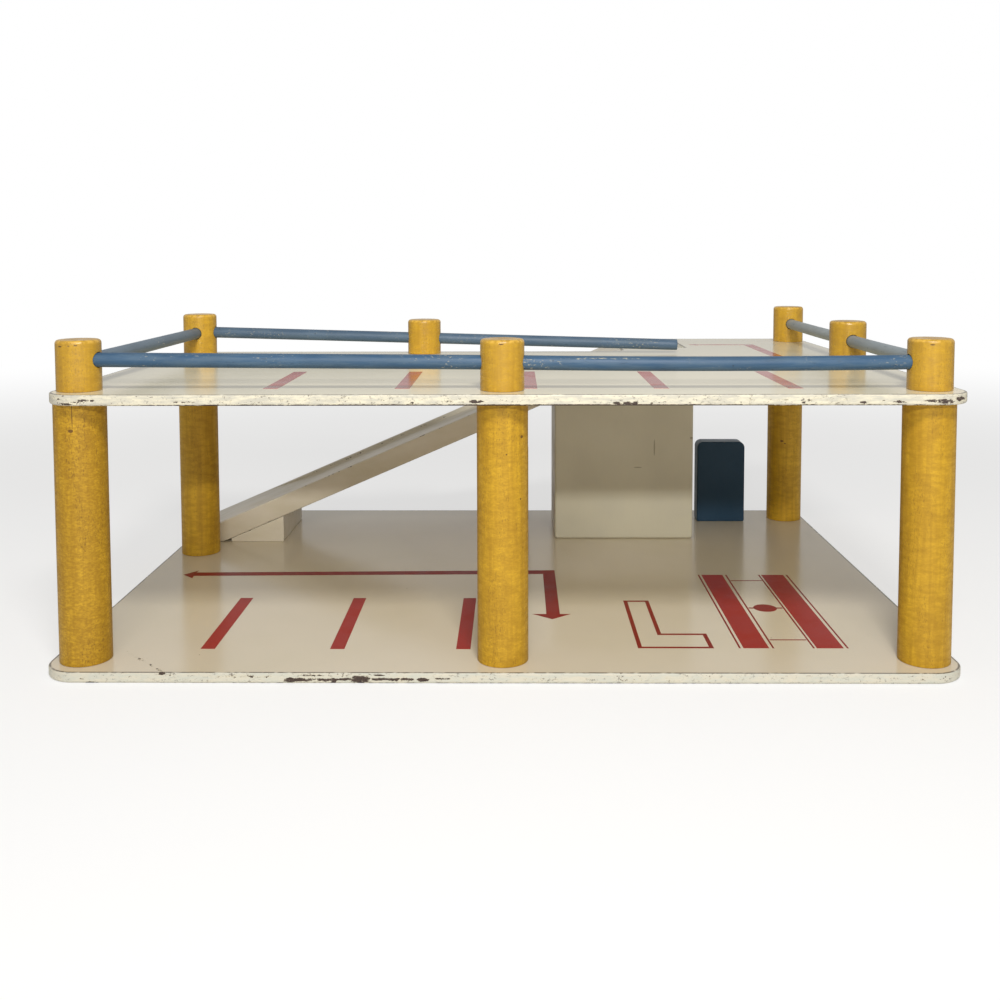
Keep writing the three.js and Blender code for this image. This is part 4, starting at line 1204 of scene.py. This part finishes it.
def ramp_arrays(settings):
    """Points, face arrays and values of the ramp's plank, a section that changes along X: its channel
    runs out towards both ends, and its nose thins to the base board."""
    low, high = cad_box("ramp")
    slope, top_at, drop = ramp_line(settings)
    r = settings.round
    # Half the section, from the underside round the front to the channel: how far in from the side,
    # how far over its line, which line it follows (0 under, 1 upper), and its share of the
    # channel's depth.
    under = np.array([[r, 0], [0.3 * r, 0.3 * r], [0, r]])
    quarter = arc(r, 4, 180, 90) + [r, -r]
    inner = settings.kerb + settings.lip * np.array([-1, -0.3, 0, 0.3, 1.25])
    inward = np.concatenate([under[:, 0], quarter[:, 0], inner])
    lift = np.concatenate([under[:, 1], quarter[:, 1], 0 * inner])
    upper = np.concatenate([np.zeros(3), np.ones(10)])
    channel = np.concatenate([np.zeros(8), [0, 0.12, 0.35, 0.85, 1]])
    arris = np.concatenate([[0, 1, 0], [0, 0.7, 1, 0.7, 0], [0, 0.6, 1, 0.6, 0]])
    y = np.concatenate([low[1] + inward, high[1] - inward[::-1]])
    halves = (lift, upper, channel, arris)
    lift, upper, channel, arris = (np.concatenate([half, half[::-1]]) for half in halves)
    near = np.array([0, 0.25, 0.6, 1.1]) * MM
    first, last = low[0] + near[-1], high[0] - near[-1]
    between_ends = np.linspace(first, last, 150)[1:-1]
    run = np.concatenate([low[0] + near, between_ends, high[0] - near[::-1]])
    starts = cad_box("base_board")[0][0] + settings.low_start
    fade_in = np.clip((run - starts) / settings.fade, 0, 1)
    fade_out = np.clip((high[0] - settings.high_end - run) / settings.fade, 0, 1)
    depth = settings.channel * math.hypot(1, slope) * np.minimum(fade_in, fade_out)
    foot = np.maximum(top_at(run) - drop, low[2])
    pinch = np.minimum((top_at(run) - foot) / (2.4 * r), 1)
    fall = settings.end_round
    ends = np.interp(run, [low[0], first, last, high[0]], [fall, 0, 0, fall])
    top_z = top_at(run)[:, None] - channel * depth[:, None] + lift * pinch[:, None] - ends[:, None]
    z = np.where(upper > 0, top_z, foot[:, None] + lift * pinch[:, None])
    rows, columns = z.shape
    x = np.broadcast_to(run[:, None], z.shape)
    points = np.stack([x, np.broadcast_to(y, z.shape), z], -1).reshape(-1, 3)
    ring = np.arange(columns)
    far_ring = (rows - 1) * columns + ring[::-1]
    blocks = [grid_quads(rows, columns)[:, ::-1], ring[None], far_ring[None]]
    return points, blocks, {"arris": np.tile(arris, rows)}


def upright_block(name, node, corners, front_round, rear_round, material, corner_steps,
                  spacing=3 * MM):
    """A finished block that stands upright: its corners in X and Z, as thick as its CAD node."""
    low, high = cad_box(node)
    outline = round_outline(corners, spacing, corner_steps)
    piece = slab(name, [outline], high[1] - low[1], front_round, rear_round, facing_front(high[1]))
    finish_piece(piece, material, [node])


class GARAGE_OT_ramp(bpy.types.Operator):
    """Builds the ramp plank with its channel, and the wedge under it."""
    bl_idname = "garage.ramp"
    bl_label = "Ramp"

    def execute(self, context):
        settings = context.scene.garage_ramp
        material = ramp_enamel(settings, context.scene.garage_boards)
        piece = put_mesh("ramp_plank", *ramp_arrays(settings))
        facing_out(piece).data.set_sharp_from_angle(angle=math.radians(50))
        finish_piece(piece, material, ["ramp"])
        low, high = cad_box("ramp_wedge")
        slope = ramp_line(settings)[0]
        r = settings.wedge_round
        c = r * WIDER
        corners = [(low[0], low[2], c), (high[0], low[2], c), (high[0], high[2], c),
                   (low[0], high[2] - (high[0] - low[0]) * slope, c)]
        upright_block("ramp_wedge_block", "ramp_wedge", corners, r, r, material,
                      corner_steps=3, spacing=2 * MM)
        return {"FINISHED"}


class GARAGE_OT_shaft(bpy.types.Operator):
    """Builds the lift shaft's boards, and finishes the guide strips and the pins."""
    bl_idname = "garage.shaft"
    bl_label = "Lift shaft"

    def execute(self, context):
        settings = context.scene.garage_shaft
        boards = context.scene.garage_boards
        material = block_enamel("shaft_enamel_on_board", settings.paint, boards.deck_edge_and_shade, boards.aged,
                                roughness=0.3, chips=0.6, node="shaft_front_wall")
        _, top_at, drop = ramp_line(context.scene.garage_ramp)
        notch = cad_box("ramp")[1][0] + settings.fit
        r = settings.board_round

        def under(x):
            return top_at(x) - drop - settings.fit

        low, high = cad_box("shaft_front_wall")
        c = settings.front_round * WIDER
        corners = [(low[0], low[2], c), (high[0], low[2], c), (high[0], high[2], c), (notch, high[2], c),
                   (notch, under(notch), c), (low[0], under(low[0]), c)]
        upright_block("shaft_front_board", "shaft_front_wall", corners, settings.front_round, r, material,
                      corner_steps=4)
        low, high = cad_box("shaft_left_wall")
        c = r * WIDER
        corners = [(low[0], low[2], c), (high[0], low[2], c), (high[0], under(high[0]), c),
                   (low[0], under(low[0]), c)]
        upright_block("shaft_left_board", "shaft_left_wall", corners, r, r, material,
                      corner_steps=2)
        for node in ("shaft_partition", "shaft_right_wall_front", "shaft_right_wall_rear"):
            low, high = cad_box(node)
            corners = rectangle(low[1], low[2], high[1], high[2], c)
            outline = round_outline(corners, 3 * MM, corner_steps=2)
            piece = slab(node.replace("wall", "board") + "_painted", [outline], high[0] - low[0], r, r,
                         facing_side(low[0]))
            finish_piece(piece, material, [node])
        wood = bare_wood("bare_planed_beech", settings.bare)
        for node in ("guide_left", "guide_right", "lift_peg", *[f"pin_{name}" for name in CAPS]):
            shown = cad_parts[node]
            shown.data.materials.clear()
            shown.data.materials.append(wood)
        return {"FINISHED"}


class GARAGE_OT_lift(bpy.types.Operator):
    """Builds the lift's block, notched for its guides, and its knob."""
    bl_idname = "garage.lift"
    bl_label = "Lift"

    def execute(self, context):
        settings = context.scene.garage_shaft
        boards = context.scene.garage_boards
        paint = block_enamel("lift_enamel_on_block", settings.paint, boards.deck_edge_and_shade, boards.aged,
                             roughness=0.34, chips=0.6)
        low, high = cad_box("lift_platform")
        guide_low, guide_high = cad_box("guide_left")
        reach = guide_high[0] - guide_low[0]
        front, rear = guide_low[1] - settings.slide, guide_high[1] + settings.slide
        left, right = low[0] + reach, high[0] - reach
        r = settings.block_round * WIDER
        corners = [(low[0], low[1], r), (high[0], low[1], r), (high[0], front, r), (right, front, r),
                   (right, rear, r), (high[0], rear, r), (high[0], high[1], r), (low[0], high[1], r),
                   (low[0], rear, r), (left, rear, r), (left, front, r), (low[0], front, r)]
        outline = round_outline(corners, 3 * MM, corner_steps=3)
        piece = slab("lift_block", [outline], high[2] - low[2], settings.block_round,
                     settings.block_round, lying(low[2]))
        finish_piece(piece, paint, ["lift_platform"], LIFT)
        low, high = cad_box("lift_knob")
        radius, length = (high[1] - low[1]) / 2, high[0] - low[0]
        neck, fillet = settings.neck, settings.neck * 0.3
        shoulder = arc(fillet, 8, -90, 0) + [radius - fillet, neck + fillet]
        edge = settings.knob_round
        head = arc(edge, 14, 0, 90) + [radius - edge, length - edge]
        profile = np.concatenate([[[neck, 0], [neck, neck * 0.4]], shoulder, head])
        centre = [low[0], *(low[1:] + high[1:]) / 2]
        piece = turned("lift_knob_turned", profile, centre, segments=64, axis="X")
        material = block_enamel("knob_enamel_turned", settings.knob, settings.red, boards.aged,
                                roughness=0.25, chips=0.2)
        finish_piece(facing_out(piece), material, ["lift_knob"], LIFT)
        return {"FINISHED"}


class GARAGE_OT_pumps(bpy.types.Operator):
    """Builds the red and the blue pump blocks."""
    bl_idname = "garage.pumps"
    bl_label = "Pumps"

    def execute(self, context):
        settings = context.scene.garage_shaft
        # The blue pump's colour is darkened as painted shade.
        for node, paint in {"pump_red": settings.red, "pump_blue": settings.blue}.items():
            low, high = cad_box(node)
            edge = settings.pump_round
            corner, foot = settings.pump_corner, edge * WIDER
            corners = [(low[0], low[2], foot), (high[0], low[2], foot), (high[0], high[2], corner),
                       (low[0], high[2], corner)]
            worn_paint = [min(c * 1.25 + 0.02, 1) for c in paint]
            material = block_enamel(f"{node}_enamel_on_block", paint, worn_paint, settings.bare,
                                    roughness=0.3, chips=0.6, shine=0.2)
            upright_block(f"{node}_block", node, corners, edge, edge, material,
                          corner_steps=8, spacing=2 * MM)
        return {"FINISHED"}


def bar(x0, y0, x1, y1):
    """A rectangle's outline, anticlockwise, in millimetres."""
    return [(x0, y0), (x1, y0), (x1, y1), (x0, y1)]


def frame_of(outline, stroke):
    """An outline and, reversed, the one a stroke inside it: each side moves along its normal."""
    points = np.array(outline, float)
    back = points - np.roll(points, 1, 0)
    ahead = np.roll(points, -1, 0) - points
    back /= np.linalg.norm(back, axis=1, keepdims=True)
    ahead /= np.linalg.norm(ahead, axis=1, keepdims=True)
    left_back = np.stack([-back[:, 1], back[:, 0]], -1)
    left_ahead = np.stack([-ahead[:, 1], ahead[:, 0]], -1)
    inward = (left_back + left_ahead) / (1 + (left_back * left_ahead).sum(1, keepdims=True))
    return [outline, (points + inward * stroke)[::-1]]


class GARAGE_OT_markings(bpy.types.Operator):
    """Paints the parking stripes, the route arrows and the floor figures."""
    bl_idname = "garage.markings"
    bl_label = "Markings"

    def execute(self, context):
        # Plan places in millimetres from the middle of the base board, each shape an outline and its
        # holes.
        arrow = [(-225.5, -6.8), (-216.8, -15.2), (-217.4, -9.6), (26.2, -4.4), (26.2, -90.6),
                 (17.6, -90.6), (29.6, -100.4), (41.4, -90.6), (34.6, -90.6), (34.6, 4.6),
                 (-217.8, -1.4), (-217.4, 3.4)]
        bench = [(76.6, -150.2), (119.8, -150.2), (119.5, -125.8), (92.9, -125.8), (92.8, -63.8),
                 (76.5, -63.8)]
        bars = [[bar(x, -152, x + 8.2, -59)] for x in (-172.3, -98.5, -26.8)]
        hoist = [[bar(136.5, -150, 151.1, -6.5)], [bar(178.1, -150, 193.4, -6.5)]]
        lines = [[bar(x - 0.55, -150, x + 0.55, -6.5)] for x in (134.5, 153.5, 176.5, 195.7)]
        lines += [[bar(154.4, y - 0.7, 175.6, y + 0.7)] for y in (-20, -136.3)]
        disc = arc(7.3, 30, 0, 360)[:-1] + [164.7, -78.6]
        lines += [[disc], [bar(154.4, -79.6, 158.0, -77.6)], [bar(171.4, -79.6, 175.6, -77.6)]]
        route = [(190.6, 23), (198.9, 23), (198.9, 127.5), (153.5, 127.5), (153.5, 131), (146.5, 125),
                 (153.5, 119.5), (153.5, 122.5), (190.6, 122.5)]
        deck_bars = [[bar(x, -162, x + 8.3, -75)] for x in (-132.1, -59.4, 10.9, 83.3, 156.9)]
        figures = {
            "base_parking_stripes": ("base_board", "bars", bars),
            "base_route_arrow": ("base_board", "lines", [[arrow]]),
            "bench_figure": ("base_board", "lines", [frame_of(bench, 2.5)]),
            "hoist_figure": ("base_board", "bars", hoist),
            "hoist_lines": ("base_board", "lines", lines),
            "deck_parking_stripes": ("deck_board", "deck", deck_bars),
            "deck_route_arrow": ("deck_board", "deck", [[route]]),
        }
        settings = context.scene.garage_marks
        boards = context.scene.garage_boards
        paints = {
            "bars": marking_enamel("base_marking_red_enamel", settings.paint, settings, boards,
                                   roughness=0.4, shine=0.2),
            "lines": marking_enamel("base_line_dark_red_enamel", settings.outline_paint, settings, boards,
                                    roughness=0.4, shine=0.2),
            # The deck markings' paler red is a painted sheen.
            "deck": marking_enamel("deck_marking_red_enamel", settings.deck_paint, settings, boards,
                                   roughness=0.16, shine=0.6),
        }
        for name, (board, paint, shapes) in figures.items():
            parts = []
            for shape in shapes:
                loops = [round_outline([(x * MM, y * MM, 0) for x, y in loop], 4 * MM) for loop in shape]
                points, blocks, _ = slab_arrays(loops, settings.film, settings.film / 2, 0, steps=2)
                parts.append((lying(cad_box(board)[1][2])(points), blocks))
            piece = put_mesh(name, *joined(parts), flat=True)
            finish_piece(piece, paints[paint])
        return {"FINISHED"}


def set_floor(settings):
    """A pale matt floor that fades to white in the camera's view."""
    reach = settings.reach
    points = np.array([(x, y, 0) for x, y in bar(-reach, -reach, reach, reach)])
    floor = put_mesh("floor", points, [np.array([[0, 1, 2, 3]])], flat=True)
    material, tree, shader = new_material("floor_pale_matt")
    where = add(tree, "TexCoord").outputs["Object"]
    shader.inputs["Base Color"].default_value = rgba(settings.floor)
    shader.inputs["Roughness"].default_value = 0.8
    away = add(tree, "VectorMath", {"operation": "LENGTH", 0: where})
    fade = add(tree, "MapRange", {
        "interpolation_type": "SMOOTHSTEP", "From Min": settings.near, "From Max": settings.far,
        "To Min": settings.lift, "To Max": 1.0, "Value": away})
    seen = add(tree, "LightPath")
    white = add(tree, "Emission", {"Color": WHITE, "Strength": 1.0})
    amount = product(tree, fade, seen.outputs["Is Camera Ray"])
    blend = add(tree, "MixShader", {0: amount, 1: shader, 2: white})
    fill(tree, tree.nodes["Material Output"].inputs["Surface"], blend)
    floor.data.materials.append(material)


def set_lamps(scene, settings):
    """Two area lamps in front, each turned towards the place that it points at."""
    for name in ("low", "upper"):
        lamp_data = bpy.data.lights.new(f"{name}_front_light", "AREA")
        lamp_data.shape = "RECTANGLE"
        lamp_data.size, lamp_data.size_y = getattr(settings, f"{name}_size")
        lamp_data.energy = getattr(settings, name)
        lamp = bpy.data.objects.new(f"{name}_front_light", lamp_data)
        lamp.location = getattr(settings, f"{name}_place")
        ahead = getattr(settings, f"{name}_aim") - lamp.location
        lamp.rotation_euler = ahead.to_track_quat("-Z", "Y").to_euler()
        scene.collection.objects.link(lamp)


def set_world(scene, settings):
    """White surroundings, dimmer as light and in glossy paint than in the camera's view."""
    world = bpy.data.worlds.new("pale_room")
    world.use_nodes = True
    tree = world.node_tree
    tree.nodes.clear()
    seen = add(tree, "LightPath")
    shown = add(tree, "Math", {"operation": "MAXIMUM", 0: seen.outputs["Is Camera Ray"],
                               1: seen.outputs["Is Transmission Ray"]})
    strength = sum_of(tree, settings.sky, (shown, 1 - settings.sky),
                      (seen.outputs["Is Glossy Ray"], settings.mirrored - settings.sky))
    background = add(tree, "Background", {"Color": WHITE, "Strength": strength})
    add(tree, "OutputWorld", {"Surface": background})
    scene.world = world


def set_camera(scene, settings):
    """The camera at its place, turned by its yaw, its pitch and its roll, with its lens shift."""
    camera_data = bpy.data.cameras.new("camera")
    camera_data.lens = settings.lens
    camera_data.sensor_width = 36
    camera_data.sensor_fit = "HORIZONTAL"
    camera_data.shift_x = settings.shift_x
    camera_data.shift_y = settings.shift_y
    camera_data.clip_start = 10 * MM
    camera_data.clip_end = 50
    camera = bpy.data.objects.new("camera", camera_data)
    forward = Vector((math.sin(settings.yaw) * math.cos(settings.pitch),
                      math.cos(settings.yaw) * math.cos(settings.pitch), math.sin(settings.pitch)))
    right = Vector((math.cos(settings.yaw), -math.sin(settings.yaw), 0))
    up = right.cross(forward)
    across = right * math.cos(settings.roll) + up * math.sin(settings.roll)
    rise = up * math.cos(settings.roll) - right * math.sin(settings.roll)
    turn = Matrix((across, rise, -forward)).transposed()
    camera.matrix_world = Matrix.Translation(settings.eye) @ turn.to_4x4()
    scene.collection.objects.link(camera)
    scene.camera = camera


class GARAGE_OT_stage(bpy.types.Operator):
    """Sets the floor, the light and the camera."""
    bl_idname = "garage.stage"
    bl_label = "Stage"

    def execute(self, context):
        scene = context.scene
        settings = scene.garage_stage
        set_floor(settings)
        set_lamps(scene, settings)
        set_world(scene, settings)
        set_camera(scene, settings)
        scene.view_settings.view_transform = "Standard"
        return {"FINISHED"}


OPERATORS = (
    GARAGE_OT_boards, GARAGE_OT_screws, GARAGE_OT_posts, GARAGE_OT_caps, GARAGE_OT_rails, GARAGE_OT_ramp,
    GARAGE_OT_shaft, GARAGE_OT_lift, GARAGE_OT_pumps, GARAGE_OT_markings, GARAGE_OT_stage,
)
SETTINGS = {"garage_boards": BoardSettings, "garage_wood": WoodSettings, "garage_rails": RailSettings,
            "garage_marks": MarkSettings, "garage_ramp": RampSettings, "garage_shaft": ShaftSettings,
            "garage_stage": StageSettings}


class GARAGE_PT_panel(bpy.types.Panel):
    """The garage's settings and operators."""
    bl_idname = "GARAGE_PT_panel"
    bl_label = "Toy parking garage"
    bl_space_type = "VIEW_3D"
    bl_region_type = "UI"
    bl_category = "Garage"

    def draw(self, context):
        for key, group in SETTINGS.items():
            box = self.layout.box()
            box.label(text=group.__doc__)
            for field in group.__annotations__:
                box.prop(getattr(context.scene, key), field)
        for operator in OPERATORS:
            self.layout.operator(operator.bl_idname)


def register():
    """Registers the settings, the operators and the panel."""
    for key, group in SETTINGS.items():
        bpy.utils.register_class(group)
        setattr(bpy.types.Scene, key, bpy.props.PointerProperty(type=group))
    for operator in OPERATORS:
        bpy.utils.register_class(operator)
    bpy.utils.register_class(GARAGE_PT_panel)


def unregister():
    """Takes back what register did."""
    bpy.utils.unregister_class(GARAGE_PT_panel)
    for operator in reversed(OPERATORS):
        bpy.utils.unregister_class(operator)
    for key, group in reversed(SETTINGS.items()):
        delattr(bpy.types.Scene, key)
        bpy.utils.unregister_class(group)


def main():
    """Registers the settings, the operators and the panel, and builds every piece in order."""
    register()
    for operator in OPERATORS:
        group, name = operator.bl_idname.split(".")
        getattr(getattr(bpy.ops, group), name)()


if __name__ == "__main__":
    main()
